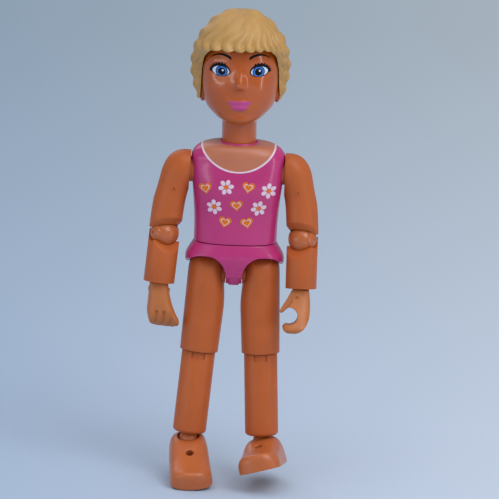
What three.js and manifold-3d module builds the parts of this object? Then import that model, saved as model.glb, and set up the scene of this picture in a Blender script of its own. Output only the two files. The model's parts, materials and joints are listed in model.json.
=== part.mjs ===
// Articulated mini doll with a moulded swimsuit and moulded wavy hair.
// Millimetres, +Z up. The doll faces -Y, and its own right side is at -X.
import * as THREE from "three";
import { mergeVertices, toCreasedNormals } from "three/addons/utils/BufferGeometryUtils.js";
import { LoftGeometry } from "three/addons/geometries/LoftGeometry.js";
import Module from "manifold-3d";

const wasm = await Module();
wasm.setup();

// Gaps between pieces
const SEAM = 0.2; // open line where two pieces meet
const PLAY = 0.1; // radial play of a pin, peg or ball in its seat

// Facets
const LIMB_SIDES = 26; // round a limb
const PIN_SIDES = 16; // round a pin or peg
const BALL_SIDES = 20; // round a ball
const BODY_SIDES = 40; // round the torso and the pelvis
const INNER_SIDES = 20; // round a hidden hollow
const FACE_COLUMNS = 22; // across the face
const NAPE_COLUMNS = 14; // round the rest of the head
const FACE_TURN = 48; // degrees, from the front to the edge of those columns

// Torso, measured up from the waist seam
const TORSO_WALL = 1.4;
const BODY_SQUARE = 2.6; // exponent of the oval: 2 is an ellipse, more is squarer
const WAIST_HALF = 7.9;
const WAIST_FRONT = 5.2;
const WAIST_BACK = 4.7;
const CHEST_HALF = 8.5;
const CHEST_FRONT = 5.9;
const CHEST_BACK = 4.9;
const CHEST_UP = 10.5;
const SHOULDER_HALF = 8.95;
const SHOULDER_FRONT = 5.2;
const SHOULDER_BACK = 4.8;
const SHOULDER_UP = 15.8; // the shoulders start to round over here
const SHOULDER_ROUND = 3.2; // height of that rounding
const TORSO_HEIGHT = SHOULDER_UP + SHOULDER_ROUND;
const SHOULDER_SQUARE = 2.3; // exponent of that rounding
const COLLAR_HALF = 4.0; // flat oval that the neck stands in
const COLLAR_DEEP = 3.4;
const BOSS_OUT = 4.4; // two bosses with pins join the halves
const BOSS_UP = 8.2;
const BOSS_RADIUS = 1.3;
const BOSS_PIN = 0.7;
const BOSS_PIN_LONG = 1.6;

// Head, measured up from the top of the torso
const NECK_RADIUS = 3.05;
const NECK_SEAT = 0.7; // the neck stands this deep in the collar
const NECK_PLUG = 2.1;
const FLANGE_LIP = 0.55; // how far a retaining flange stands out
const FLANGE_THICK = 0.9;
const CHIN_UP = 4.5;
const SKULL_UP = 24.6;
const FACE_HALF = 7.3;
const FACE_FRONT = 7.0;
const FACE_BACK = 7.4;
const FACE_SQUARE = 2.15;
const NOSE_UP = 12.3;
const NOSE_OUT = 1.35;
const NOSE_HALF = 0.95;
const LIP_UP = 8.35;
const LIP_OUT = 0.45;
const LIP_HALF = 2.0;
const EYE_UP = 15.1;
const EYE_OUT = 3.65;
const EYE_DEEP = 0.35;
const EAR_UP = 9.6;
const EAR_HIGH = 1.9;
const EAR_BACK = 0.5;
const EAR_ROOT = 0.25; // how deep an ear's middle lies in the head
const HEAD_TILT = 1.2; // degrees, to the doll's right

// Hair cap, measured up from the top of the torso
const HAIR_CROWN = 1.3; // thickness over the skull
const HAIR_TOP = SKULL_UP + HAIR_CROWN;
const HAIR_HALF = FACE_HALF + 1.85;
const HAIR_FRONT = FACE_FRONT + 1.6;
const HAIR_BACK = FACE_BACK + 1.8;
const HAIR_END = CHIN_UP + 4.1; // lower edge beside the face
const HAIR_NAPE = CHIN_UP + 2.1; // lower edge at the back
const FRINGE_DROP = 7.5; // from the top of the hair to the edge over the face
const FRINGE_UP = HAIR_TOP - FRINGE_DROP;
const FRINGE_SCALLOP = 0.3;
const LOCKS = 6; // locks of the fringe
const LOCK_COLUMNS = 6; // facets across one lock
const LOCK_DEEP = 0.75;
const FRINGE_TURN = 62; // degrees, from the front to the last lock
const LOCK_SLANT = 0.5; // sideways run of a lock for each millimetre of height
const LOCK_SWAY = 0.5; // sideways swing of a lock
const CURL_HIGH = 2.1; // one wave at the sides and the back
const CURL_DEEP = 0.7;
const JAW_ROOM = 0.6; // the cap is clear of the jaw from here inward
const HAIR_PEG = 1.5;
const HAIR_PEG_LONG = 3.2;

// Arms: the shoulder pivot is on the flat inner face of the upper arm
const SHOULDER_PIVOT_UP = SHOULDER_UP - 2.4;
const SHOULDER_PEG = 1.6;
const SHOULDER_SINK = 1.3; // room between the wall and the flange, as the shell curves in
const ARM_TOP = 3.2; // top of the arm over the pivot
const ARM_HALF = 3.05;
const DELTOID_HALF = 3.45;
const DELTOID_DEEP = 3.5;
const ELBOW_DROP = 12.6;
const ELBOW_OUT = 3.6;
const ARM_SPLAY = 6.5; // degrees, at the elbow end
const ELBOW_BALL = 2.5;
const ELBOW_STEM = 1.15;
const ELBOW_STEM_LONG = 6.2;
const ELBOW_PIN = 1.6; // round boss that shows in the notch
const ELBOW_PIN_REACH = 2.72; // the boss is rounded off just outside the ball
const ELBOW_DIMPLE = 0.25;
const SOCKET_UP = 0.75; // end of the arm's lip over the ball's centre
const SOCKET_SHIFT = 1.05; // the bevel leans so that the lip hangs on the outer side
const FOREARM_RADIUS = 2.95;
const FOREARM_TOP = 0.45;
const FOREARM_LONG = 9.4;
const NOTCH_ANGLE = 50; // degrees, slope of the cut-away on the bending side
const WRIST_PEG = 1.25;
const WRIST_PEG_LONG = 3.0;

// Hand, measured from the end of the forearm
const GRIP_RADIUS = 1.62; // holds a 3.2 mm rod
const GRIP_OUT = 2.1;
const GRIP_DROP = 5.2;
const PALM_BACK = 1.8;
const HAND_LONG = 8.5;
const HAND_WIDE = 2.9; // half of the width at the fingers
const HAND_SQUARE = 3.2; // exponent of the rounding of the hand's back and edges
const THUMB_LEAN = 20; // degrees, to the thumb's side of the hand
const FINGER_GROOVE = 0.32;
const FINGERS = 4;

// Pelvis, measured down from the waist seam
const HIP_HALF = 9.35;
const HIP_FLARE_DROP = 2.9;
const HIP_FRONT = 5.6;
const HIP_BACK = 5.7;
const HIP_OUT = 4.9; // hip axis to the middle plane
const HIP_DROP = 6.6;
const CROTCH_DROP = 8.3;
const WEB_HALF = 0.75; // column between the legs
const POST_RADIUS = 2.4; // waist post
const AXLE_RADIUS = 1.2;
const AXLE_REACH = 7.0;

// Legs
const THIGH_DOME = 3.85; // round about the hip axis
const THIGH_SQUARE = 3.2; // exponent of the top's rounding, seen from the front
const KNEE_RADIUS = 3.62;
const THIGH_LONG = 15.1;
const KNUCKLE_RADIUS = 2.3;
const KNUCKLE_HALF = 1.6;
const KNEE_PIN = 0.9;
const KNEE_PIN_HALF = 2.9;
const CALF_RADIUS = 3.17;
const CALF_LONG = 16.0;
const CALF_FILLET = 0.7;
const CALF_MARK_WIDE = 2.5;
const CALF_MARK_HIGH = 1.9;
const CALF_MARK_DEEP = 0.22;
const ANKLE_DROP = 1.35; // end of the calf to the middle of the ball
const ANKLE_BALL = 1.75;
const ANKLE_STEM = 1.1;
const ANKLE_STEM_LONG = 3.0;

// Foot, measured from the middle of the ankle ball
const SOLE_DROP = 4.9;
const HEEL_BACK = 3.9;
const TOE_FRONT = 12.1;
const HEEL_HALF = 3.35;
const TOE_HALF = 4.05;
const COLLAR_UP = 0.35;
const TOE_HIGH = 3.1;
const INSTEP_HOLE = 0.85;
const INSTEP_HOLE_FRONT = 5.0;
const INSTEP_HOLE_DEEP = 2.2;
const STUD_SOCKET = 2.45;
const STUD_PITCH = 8.0;
const STUD_DEEP = 1.6;

// Rest pose of each side, in degrees. Leans count outward, turns count from the natural pose.
const LEG_FORWARD = 4;
const SIDES = {
  right: {
    sign: -1, armGap: 0.5, armOut: 1.9, armForward: 6, forearmLean: 2.6, elbowTurn: 62, wristTurn: 90,
    legSplay: 4.5, footDown: 17, footOut: -6, footRoll: 9,
  },
  left: {
    sign: 1, armGap: 0.2, armOut: 0.2, armForward: 9, forearmLean: 0.3, elbowTurn: 62, wristTurn: 0,
    legSplay: 3.0, footDown: -5, footOut: -8, footRoll: -13,
  },
};

const SKIN = { color: 0xc8875a, roughness: 0.35, metalness: 0 };
const HAIR = { color: 0xe3c088, roughness: 0.5, metalness: 0 };
const SUIT = { color: 0xd94f96, roughness: 0.35, metalness: 0 };
const STEM = { color: 0xcf8a66, roughness: 0.35, metalness: 0 };
const METAL = { color: 0xb8b8bc, roughness: 0.3, metalness: 1 };

const rad = THREE.MathUtils.degToRad;
const FAR = 40; // reach of a cutter that has to pass right through

// Smooth curve through a few (place, size) pairs.
function through(pairs) {
  const slope = pairs.map(([t, v], i) => {
    const before = pairs[Math.max(i - 1, 0)];
    const after = pairs[Math.min(i + 1, pairs.length - 1)];
    return (after[1] - before[1]) / (after[0] - before[0]);
  });
  return (t) => {
    let i = 0;
    while (i < pairs.length - 2 && t > pairs[i + 1][0]) i += 1;
    const span = pairs[i + 1][0] - pairs[i][0];
    const u = THREE.MathUtils.clamp((t - pairs[i][0]) / span, 0, 1);
    const [v0, v1] = [pairs[i][1], pairs[i + 1][1]];
    const [m0, m1] = [slope[i] * span, slope[i + 1] * span];
    const a = 2 * v0 - 2 * v1 + m0 + m1;
    const b = -3 * v0 + 3 * v1 - 2 * m0 - m1;
    return ((a * u + b) * u + m0) * u + v0;
  };
}

// The same from shares: places between two heights, and shares of one full size.
function profile(low, high, size, shares) {
  return through(shares.map(([place, share]) => [THREE.MathUtils.lerp(low, high, place), size * share]));
}

function bump(x, half) {
  return Math.exp(-(x * x) / (half * half));
}

// Closed solid from a three.js geometry.
function solid(geometry) {
  const bare = new THREE.BufferGeometry();
  bare.setAttribute("position", geometry.getAttribute("position").clone());
  if (geometry.index) bare.setIndex(geometry.index.clone());
  const welded = mergeVertices(bare, 1e-4);
  const points = welded.getAttribute("position").array;
  const index = welded.index.array;
  const corners = [];
  let volume = 0;
  const [a, b, c] = [new THREE.Vector3(), new THREE.Vector3(), new THREE.Vector3()];
  for (let i = 0; i < index.length; i += 3) {
    const [p, q, r] = [index[i], index[i + 1], index[i + 2]];
    if (p === q || q === r || r === p) continue;
    corners.push(p, q, r);
    a.fromArray(points, 3 * p);
    b.fromArray(points, 3 * q);
    c.fromArray(points, 3 * r);
    volume += a.dot(b.cross(c));
  }
  if (volume < 0) corners.reverse();
  return new wasm.Manifold(new wasm.Mesh({
    numProp: 3,
    vertProperties: new Float32Array(points),
    triVerts: new Uint32Array(corners),
  }));
}

function moved(geometry, x, y, z) {
  return geometry.translate(x, y, z);
}

function ball(radius, x = 0, y = 0, z = 0, sides = BALL_SIDES) {
  const geometry = new THREE.SphereGeometry(radius, sides, sides / 2).rotateX(Math.PI / 2);
  return solid(moved(geometry, x, y, z));
}

// Round bar or cone from one height to another along Z.
function bar(bottomRadius, topRadius, bottom, top, sides = PIN_SIDES) {
  const geometry = new THREE.CylinderGeometry(topRadius, bottomRadius, top - bottom, sides);
  return solid(moved(geometry.rotateX(Math.PI / 2), 0, 0, (top + bottom) / 2));
}

// Round bar along X or Y through a point.
function barX(radius, from, to, y, z, sides = PIN_SIDES) {
  const geometry = new THREE.CylinderGeometry(radius, radius, to - from, sides).rotateZ(Math.PI / 2);
  return solid(moved(geometry, (from + to) / 2, y, z));
}

function barY(radius, from, to, x, z, sides = PIN_SIDES) {
  const geometry = new THREE.CylinderGeometry(radius, radius, to - from, sides);
  return solid(moved(geometry, x, (from + to) / 2, z));
}

function block(x0, x1, y0, y1, z0, z1) {
  const geometry = new THREE.BoxGeometry(x1 - x0, y1 - y0, z1 - z0);
  return solid(moved(geometry, (x0 + x1) / 2, (y0 + y1) / 2, (z0 + z1) / 2));
}

// Revolved solid about Z from (radius, height) pairs that start and end on the axis.
function revolve(pairs, sides = LIMB_SIDES) {
  const profile = pairs.map(([r, z]) => new THREE.Vector2(r, z));
  return solid(new THREE.LatheGeometry(profile, sides).rotateX(Math.PI / 2));
}

function skin(sections) {
  return solid(new LoftGeometry(sections, { closed: true, capStart: true, capEnd: true }));
}

// Plane outline drawn in (along, up), pushed along X from one place to another.
function slabX(outline, from, to) {
  const shape = new THREE.Shape(outline.map(([y, z]) => new THREE.Vector2(y, z)));
  const geometry = new THREE.ExtrudeGeometry(shape, { depth: to - from, bevelEnabled: false });
  geometry.rotateX(Math.PI / 2).rotateZ(Math.PI / 2);
  return solid(moved(geometry, from, 0, 0));
}

// Plane outline drawn in (across, up), pushed along Y from one place to another.
function slabY(outline, from, to) {
  const shape = new THREE.Shape(outline.map(([x, z]) => new THREE.Vector2(x, z)));
  const geometry = new THREE.ExtrudeGeometry(shape, { depth: to - from, bevelEnabled: false });
  return solid(moved(geometry.rotateX(Math.PI / 2), 0, to, 0));
}

function turned(body, x, y, z) {
  return body.rotate([x, y, z]);
}

function joined(bodies) {
  return bodies.reduce((whole, body) => whole.add(body));
}

// Oval ring at one height, with its own depth in front and behind.
function oval(turns, height, half, front, back, square, push = () => 0) {
  return turns.map((turn, i) => {
    const [c, s] = [Math.cos(turn), Math.sin(turn)];
    const x = half * Math.sign(c) * Math.abs(c) ** (2 / square);
    const y = (s < 0 ? front : back) * Math.sign(s) * Math.abs(s) ** (2 / square);
    const out = push(x, y, height, i);
    const reach = Math.hypot(x, y) || 1;
    return new THREE.Vector3(x + (out * x) / reach, y + (out * y) / reach, height);
  });
}

// Even turns round an oval, or turns that are closer together on the side that faces forward.
function even(sides) {
  return steps(sides, 0, 2 * Math.PI).slice(0, -1);
}

function closerInFront(frontColumns, backColumns, reach) {
  const front = steps(frontColumns, -rad(reach), rad(reach));
  const back = steps(backColumns, rad(reach), rad(360 - reach)).slice(1, -1);
  return [...front, ...back].map((turn) => turn - Math.PI / 2);
}

function steps(count, from, to) {
  return Array.from({ length: count + 1 }, (_, i) => from + ((to - from) * i) / count);
}

function node(name, body, look) {
  const mesh = body.getMesh();
  const geometry = new THREE.BufferGeometry();
  const points = new Float32Array(mesh.numVert * 3);
  for (let i = 0; i < mesh.numVert; i += 1) {
    for (let k = 0; k < 3; k += 1) points[3 * i + k] = mesh.vertProperties[i * mesh.numProp + k];
  }
  geometry.setAttribute("position", new THREE.BufferAttribute(points, 3));
  geometry.setIndex(new THREE.BufferAttribute(new Uint32Array(mesh.triVerts), 1));
  const shown = new THREE.Mesh(toCreasedNormals(geometry, rad(35)), new THREE.MeshStandardMaterial(look));
  shown.name = name;
  return shown;
}

function pivot(name, x = 0, y = 0, z = 0) {
  const group = new THREE.Group();
  group.name = name;
  group.position.set(x, y, z);
  return group;
}

// Torso: an oval shell that rounds over at the shoulders, open at neck, waist and shoulders.
const BELLY_UP = CHEST_UP * 0.45;
const torsoHalf = through([
  [0, WAIST_HALF], [BELLY_UP, WAIST_HALF * 1.012], [CHEST_UP, CHEST_HALF], [SHOULDER_UP, SHOULDER_HALF],
]);
const torsoFront = through([
  [0, WAIST_FRONT], [BELLY_UP, WAIST_FRONT], [CHEST_UP, CHEST_FRONT], [SHOULDER_UP, SHOULDER_FRONT],
]);
const torsoBack = through([
  [0, WAIST_BACK], [BELLY_UP, WAIST_BACK - 0.2], [CHEST_UP, CHEST_BACK], [SHOULDER_UP, SHOULDER_BACK],
]);

function torsoBody(inset, sides = BODY_SIDES, levels = 9) {
  const turns = even(sides);
  const rings = steps(levels, inset, SHOULDER_UP).map((z) => oval(
    turns, z, torsoHalf(z) - inset, torsoFront(z) - inset, torsoBack(z) - inset, BODY_SQUARE,
  ));
  const crown = TORSO_HEIGHT - SHOULDER_UP - inset;
  for (const turn of steps(Math.ceil(levels / 2), 15, 90)) {
    const left = 1 - Math.abs(Math.cos(rad(turn))) ** (2 / SHOULDER_SQUARE);
    const rise = SHOULDER_UP + crown * Math.sin(rad(turn)) ** (2 / SHOULDER_SQUARE);
    rings.push(oval(
      turns, rise,
      THREE.MathUtils.lerp(SHOULDER_HALF, COLLAR_HALF, left) - inset,
      THREE.MathUtils.lerp(SHOULDER_FRONT, COLLAR_DEEP, left) - inset,
      THREE.MathUtils.lerp(SHOULDER_BACK, COLLAR_DEEP, left) - inset,
      BODY_SQUARE,
    ));
  }
  return skin(rings);
}

// Hole for the peg of one arm, square to the way that arm hangs out.
function shoulderHole({ sign, armGap, armOut }) {
  const hole = barX(SHOULDER_PEG + PLAY, -SHOULDER_HALF, SHOULDER_HALF, 0, 0, BALL_SIDES);
  const x = sign * (SHOULDER_HALF + armGap);
  return turned(hole, 0, -sign * armOut, 0).translate([x, 0, SHOULDER_PIVOT_UP]);
}

function torsoHalves() {
  let shell = torsoBody(0).subtract(torsoBody(TORSO_WALL, INNER_SIDES, 4));
  for (const side of [-1, 1]) {
    const stay = barY(BOSS_RADIUS, -WAIST_FRONT, WAIST_BACK, side * BOSS_OUT, BOSS_UP);
    shell = shell.add(stay.intersect(torsoBody(TORSO_WALL / 2, INNER_SIDES, 4)));
  }
  shell = shell
    .subtract(bar(NECK_RADIUS + PLAY, NECK_RADIUS + PLAY, TORSO_HEIGHT - NECK_SEAT, FAR, LIMB_SIDES))
    .subtract(bar(NECK_PLUG + PLAY, NECK_PLUG + PLAY, TORSO_HEIGHT - 2 * TORSO_WALL, FAR, BALL_SIDES))
    .subtract(bar(POST_RADIUS + PLAY, POST_RADIUS + PLAY, -FAR, 2 * TORSO_WALL, LIMB_SIDES))
    .subtract(shoulderHole(SIDES.right))
    .subtract(shoulderHole(SIDES.left));
  let front = shell.intersect(block(-FAR, FAR, -FAR, -PLAY / 2, -FAR, FAR));
  let back = shell.intersect(block(-FAR, FAR, PLAY / 2, FAR, -FAR, FAR));
  for (const side of [-1, 1]) {
    const x = side * BOSS_OUT;
    front = front.add(barY(BOSS_PIN, -BOSS_PIN_LONG, BOSS_PIN_LONG, x, BOSS_UP));
    back = back.subtract(barY(BOSS_PIN + PLAY, -FAR, BOSS_PIN_LONG + SEAM, x, BOSS_UP));
  }
  return { front, back };
}

// Head: an egg-shaped loft with nose, lips, chin and eye hollows, on a plain neck.
const faceHalf = profile(CHIN_UP, SKULL_UP, FACE_HALF, [
  [0, 0.22], [0.045, 0.53], [0.095, 0.7], [0.16, 0.86], [0.26, 0.965], [0.41, 1],
  [0.61, 0.98], [0.72, 0.89], [0.88, 0.644], [0.965, 0.356], [1, 0.164],
]);
const faceFront = profile(CHIN_UP, SKULL_UP, FACE_FRONT, [
  [0, 0.557], [0.04, 0.821], [0.12, 0.893], [0.274, 0.971], [0.45, 1],
  [0.677, 0.957], [0.85, 0.714], [0.96, 0.371], [1, 0.171],
]);
const faceBack = profile(CHIN_UP, SKULL_UP, FACE_BACK, [
  [0, 0.135], [0.1, 0.378], [0.2, 0.595], [0.4, 0.905], [0.6, 1],
  [0.72, 0.905], [0.88, 0.635], [0.965, 0.338], [1, 0.162],
]);

function faceRelief(x, y, z) {
  if (y > -1) return 0;
  const drop = NOSE_UP - z;
  const nose = NOSE_OUT * bump(x, NOSE_HALF + Math.max(0, drop) * 0.2) * bump(drop, drop > 0 ? 0.75 : 2.3);
  const upper = LIP_OUT * bump(x, LIP_HALF) * bump(z - LIP_UP - 0.45, 0.5);
  const lower = LIP_OUT * 1.1 * bump(x, LIP_HALF * 0.8) * bump(z - LIP_UP + 0.65, 0.6);
  const chin = 0.35 * bump(x, 1.8) * bump(z - CHIN_UP - 1.5, 0.9);
  const eyes = -EYE_DEEP * bump(Math.abs(x) - EYE_OUT, 2.0) * bump(z - EYE_UP, 1.5);
  return nose + upper + lower + chin + eyes;
}

function skull(grow, relief, turns) {
  const finest = grow === 0;
  const shares = [
    ...(finest ? steps(6, 0, 0.14) : steps(3, 0, 0.14)),
    ...(finest ? steps(11, 0.14, 0.45) : steps(3, 0.14, 0.45)).slice(1),
    ...steps(4, 0.45, 0.75).slice(1),
    ...steps(6, 0, 90).slice(1).map((turn) => 0.75 + 0.25 * Math.sin(rad(turn))),
  ];
  const rings = shares.map((share) => {
    const z = THREE.MathUtils.lerp(CHIN_UP, SKULL_UP, share);
    const lift = grow * THREE.MathUtils.lerp(-1, 1, share);
    return oval(
      turns, z, faceHalf(z) + grow, faceFront(z) + grow, faceBack(z) + grow, FACE_SQUARE, relief,
    ).map((p) => p.setZ(p.z + lift));
  });
  return skin(rings);
}

function ear(grow) {
  const lobe = new THREE.SphereGeometry(1, 14, 10);
  lobe.scale(0.75 + grow, 1.25 + grow, EAR_HIGH + grow);
  return [-1, 1].map((side) => solid(moved(lobe.clone(), side * (FACE_HALF - EAR_ROOT), EAR_BACK, EAR_UP)));
}

function headBody() {
  const under = -TORSO_WALL - SEAM;
  const flange = NECK_PLUG + FLANGE_LIP;
  const neck = revolve([
    [0, under - FLANGE_THICK], [flange, under - FLANGE_THICK], [flange, under], [NECK_PLUG, under],
    [NECK_PLUG, PLAY - NECK_SEAT], [NECK_RADIUS, PLAY - NECK_SEAT], [NECK_RADIUS, CHIN_UP],
    [NECK_RADIUS + 0.5, CHIN_UP + 1.4], [NECK_RADIUS, CHIN_UP + 3], [0, CHIN_UP + 3],
  ]);
  const seat = SKULL_UP - HAIR_PEG_LONG - SEAM;
  const turns = closerInFront(FACE_COLUMNS, NAPE_COLUMNS, FACE_TURN);
  return joined([skull(0, faceRelief, turns), neck, ...ear(0)])
    .subtract(bar(HAIR_PEG + PLAY, HAIR_PEG + PLAY, seat, FAR));
}

// Hair: a cap whose locks sweep from the crown into the fringe and curl at the sides.
const hairHalf = profile(HAIR_NAPE, HAIR_TOP, HAIR_HALF, [
  [0, 0.69], [0.1, 0.83], [0.2, 0.91], [0.43, 0.99], [0.67, 0.87], [0.845, 0.63], [0.948, 0.37], [1, 0.14],
]);
const hairFront = profile(HAIR_NAPE, HAIR_TOP, HAIR_FRONT, [
  [0, 1], [0.56, 1], [0.74, 0.895], [0.876, 0.663], [0.9585, 0.372], [1, 0.186],
]);
const hairBack = profile(HAIR_NAPE, HAIR_TOP, HAIR_BACK, [
  [0, 0.652], [0.155, 0.848], [0.415, 1], [0.69, 0.924], [0.865, 0.674], [0.953, 0.391], [1, 0.174],
]);

// One rounded lock with a sharp groove on each side, from 0 in the groove to 1 on the crest.
function lock(turns) {
  return Math.abs(Math.sin(Math.PI * turns)) ** 0.75;
}

const hairTurns = closerInFront(LOCKS * LOCK_COLUMNS, LOCKS * LOCK_COLUMNS, FRINGE_TURN);
const lockTurn = rad((2 * FRINGE_TURN) / LOCKS);

// Ring of the hair. Its columns run along the locks of the fringe,
// and its height rolls with the side waves.
function hairRing(level) {
  const up = level - FRINGE_UP;
  const run = (LOCK_SLANT * up + LOCK_SWAY * Math.sin((2 * Math.PI * up) / 7.5)) / HAIR_HALF;
  const crown = THREE.MathUtils.smoothstep(HAIR_TOP - level, 0.2, 3.5);
  const turns = hairTurns.map((turn) => {
    const aside = Math.abs(turn + Math.PI / 2 > Math.PI ? turn - 1.5 * Math.PI : turn + Math.PI / 2);
    return turn + run * (1 - THREE.MathUtils.smoothstep(aside, rad(FRINGE_TURN), rad(160)));
  });
  const wave = CURL_DEEP * (lock((level - HAIR_NAPE) / CURL_HIGH) - 0.5);
  const ring = oval(turns, level, hairHalf(level), hairFront(level), hairBack(level), 2.1, (x, y, z, i) => {
    const facing = THREE.MathUtils.smoothstep(-y, 1, 6);
    const fringe = LOCK_DEEP * (lock((hairTurns[i] + Math.PI / 2) / lockTurn) - 0.5);
    return crown * (facing * fringe + (1 - facing) * wave);
  });
  const roll = 0.45 * crown * THREE.MathUtils.smoothstep(level - HAIR_NAPE, 0, 3);
  return ring.map((p) => {
    const behind = THREE.MathUtils.smoothstep(p.y, -5, 0);
    return p.setZ(p.z + roll * behind * Math.sin(0.75 * p.y));
  });
}

function hairBody() {
  const waves = Math.round((HAIR_TOP - 5 - HAIR_NAPE) / CURL_HIGH);
  const shoulder = HAIR_NAPE + waves * CURL_HIGH;
  const crown = steps(7, 0, 1).slice(1).map((t) => shoulder + (HAIR_TOP - shoulder) * (1 - (1 - t) ** 1.6));
  const rings = [...steps(waves * 4, HAIR_NAPE, shoulder), ...crown].map(hairRing);
  const corner = steps(6, 0, 90).map((turn) => [
    FACE_HALF + SEAM - 2.2 * (1 - Math.cos(rad(turn))), FRINGE_UP - 1.9 * (1 - Math.sin(rad(turn))),
  ]);
  const edge = corner.at(-1)[0];
  const scallops = steps(36, edge, -edge).map((x) => {
    const turn = Math.asin(x / HAIR_FRONT);
    return [x, FRINGE_UP + FRINGE_SCALLOP * (1 - lock(turn / lockTurn))];
  });
  const opening = [
    [FACE_HALF - 0.3, -2],
    ...corner.slice(0, -1),
    ...scallops,
    ...corner.slice(0, -1).reverse().map(([x, z]) => [-x, z]),
    [0.3 - FACE_HALF, -2],
  ];
  const below = slabX([
    [-FAR, HAIR_END], [2.5, HAIR_END], [9, HAIR_NAPE], [FAR, HAIR_NAPE], [FAR, -2], [-FAR, -2],
  ], -FAR, FAR);
  const cavity = joined([
    skull(SEAM, () => 0, even(INNER_SIDES)),
    ...ear(SEAM),
    block(JAW_ROOM - FACE_HALF, FACE_HALF - JAW_ROOM, -EAR_BACK - SEAM, 0, CHIN_UP, EAR_UP),
    bar(NECK_RADIUS + 2, NECK_RADIUS + 2, -2, CHIN_UP + 4),
  ]);
  const peg = bar(HAIR_PEG, HAIR_PEG, SKULL_UP - HAIR_PEG_LONG, HAIR_TOP - 0.8);
  return skin(rings)
    .subtract(slabY(opening, -FAR, -0.6))
    .subtract(below)
    .subtract(cavity)
    .add(peg);
}

// Upper arm: a loft from the rounded shoulder to a leaning bevelled socket at the elbow.
function upperArmBody(gap) {
  const low = ELBOW_DROP + 1.2;
  const drop = through([
    [0, -ARM_TOP], [0.12, -ARM_TOP + 0.7], [0.24, -1.3], [0.36, 0.6], [0.52, ELBOW_DROP * 0.27],
    [0.7, ELBOW_DROP * 0.52], [1, low],
  ]);
  const middle = through([
    [-ARM_TOP, 0.4], [-1.5, 1.0], [0.4, 1.55], [ELBOW_DROP * 0.27, 2.55], [ELBOW_DROP * 0.52, 3.2],
    [low, ELBOW_OUT + 0.1],
  ]);
  const half = through([
    [-ARM_TOP, 1.2], [-ARM_TOP + 0.7, 2.6], [-1.3, DELTOID_HALF - 0.3], [0.4, DELTOID_HALF],
    [ELBOW_DROP * 0.27, ARM_HALF], [ELBOW_DROP * 0.52, ARM_HALF], [low, ARM_HALF],
  ]);
  const deep = through([
    [-ARM_TOP, 1.1], [-ARM_TOP + 0.7, 2.4], [-1.3, DELTOID_DEEP - 0.4], [0.4, DELTOID_DEEP],
    [ELBOW_DROP * 0.27, ARM_HALF + 0.2], [ELBOW_DROP * 0.52, ARM_HALF], [low, ARM_HALF],
  ]);
  const rings = steps(12, 1, 0).map((t) => {
    const d = drop(t);
    return oval(even(LIMB_SIDES), -d, half(d), deep(d), deep(d), 2).map((p) => p.setX(p.x + middle(d)));
  });
  const bevelTop = SOCKET_UP + 5;
  const bevelFoot = ARM_HALF - SOCKET_SHIFT;
  const keep = bar(bevelFoot, bevelFoot + 5, SOCKET_UP, bevelTop, LIMB_SIDES)
    .translate([SOCKET_SHIFT, 0, 0]);
  const end = bar(9, 9, -6, bevelTop, LIMB_SIDES).subtract(keep)
    .add(ball(ELBOW_PIN_REACH + PLAY))
    .add(bar(ELBOW_STEM + PLAY, ELBOW_STEM + PLAY, 0, ELBOW_STEM_LONG + SEAM));
  const hold = -gap - TORSO_WALL - SHOULDER_SINK;
  const peg = joined([
    barX(SHOULDER_PEG, hold - FLANGE_THICK, 1, 0, 0),
    barX(SHOULDER_PEG + FLANGE_LIP, hold - FLANGE_THICK, hold, 0, 0),
  ]);
  return skin(rings)
    .subtract(block(-FAR, 0, -FAR, FAR, -FAR, FAR))
    .subtract(turned(end, 0, -ARM_SPLAY, 0).translate([ELBOW_OUT, 0, -ELBOW_DROP]))
    .add(peg);
}

// Elbow ball, about its own centre: the stem goes up into the arm, the pins lie along Y.
function elbowBallBody(lean) {
  const stem = bar(ELBOW_STEM, ELBOW_STEM, 0, ELBOW_STEM_LONG);
  const reach = ELBOW_PIN_REACH;
  const pins = barY(ELBOW_PIN, -reach, reach, 0, 0, BALL_SIDES).intersect(ball(reach));
  const dimples = joined([
    barY(ELBOW_DIMPLE, -FAR, -reach + 0.4, 0, 0, 10),
    barY(ELBOW_DIMPLE, reach - 0.4, FAR, 0, 0, 10),
  ]);
  return joined([ball(ELBOW_BALL), pins, lean(stem)]).subtract(dimples);
}

// Forearm, about the middle of the elbow ball. It bends towards -X.
function forearmBody() {
  const edge = 0.35;
  const sleeve = revolve([
    [0, FOREARM_TOP], [FOREARM_RADIUS - 0.08, FOREARM_TOP], [FOREARM_RADIUS, FOREARM_TOP - 0.1],
    [FOREARM_RADIUS, -FOREARM_LONG + edge], [FOREARM_RADIUS - edge * 0.3, -FOREARM_LONG + edge * 0.3],
    [FOREARM_RADIUS - edge, -FOREARM_LONG], [0, -FOREARM_LONG],
  ]);
  const fall = Math.tan(rad(NOTCH_ANGLE));
  const notch = slabY([[0.3, 9], [0.3, 0.1], [-6, 0.1 - 6.3 * fall], [-9, 9]], -FAR, FAR);
  return sleeve
    .subtract(notch)
    .subtract(ball(ELBOW_BALL + PLAY))
    .subtract(barY(ELBOW_PIN + PLAY, -FAR, FAR, 0, 0, BALL_SIDES))
    .subtract(bar(WRIST_PEG + PLAY, WRIST_PEG + PLAY, -FAR, -FOREARM_LONG + WRIST_PEG_LONG + SEAM));
}

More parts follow.
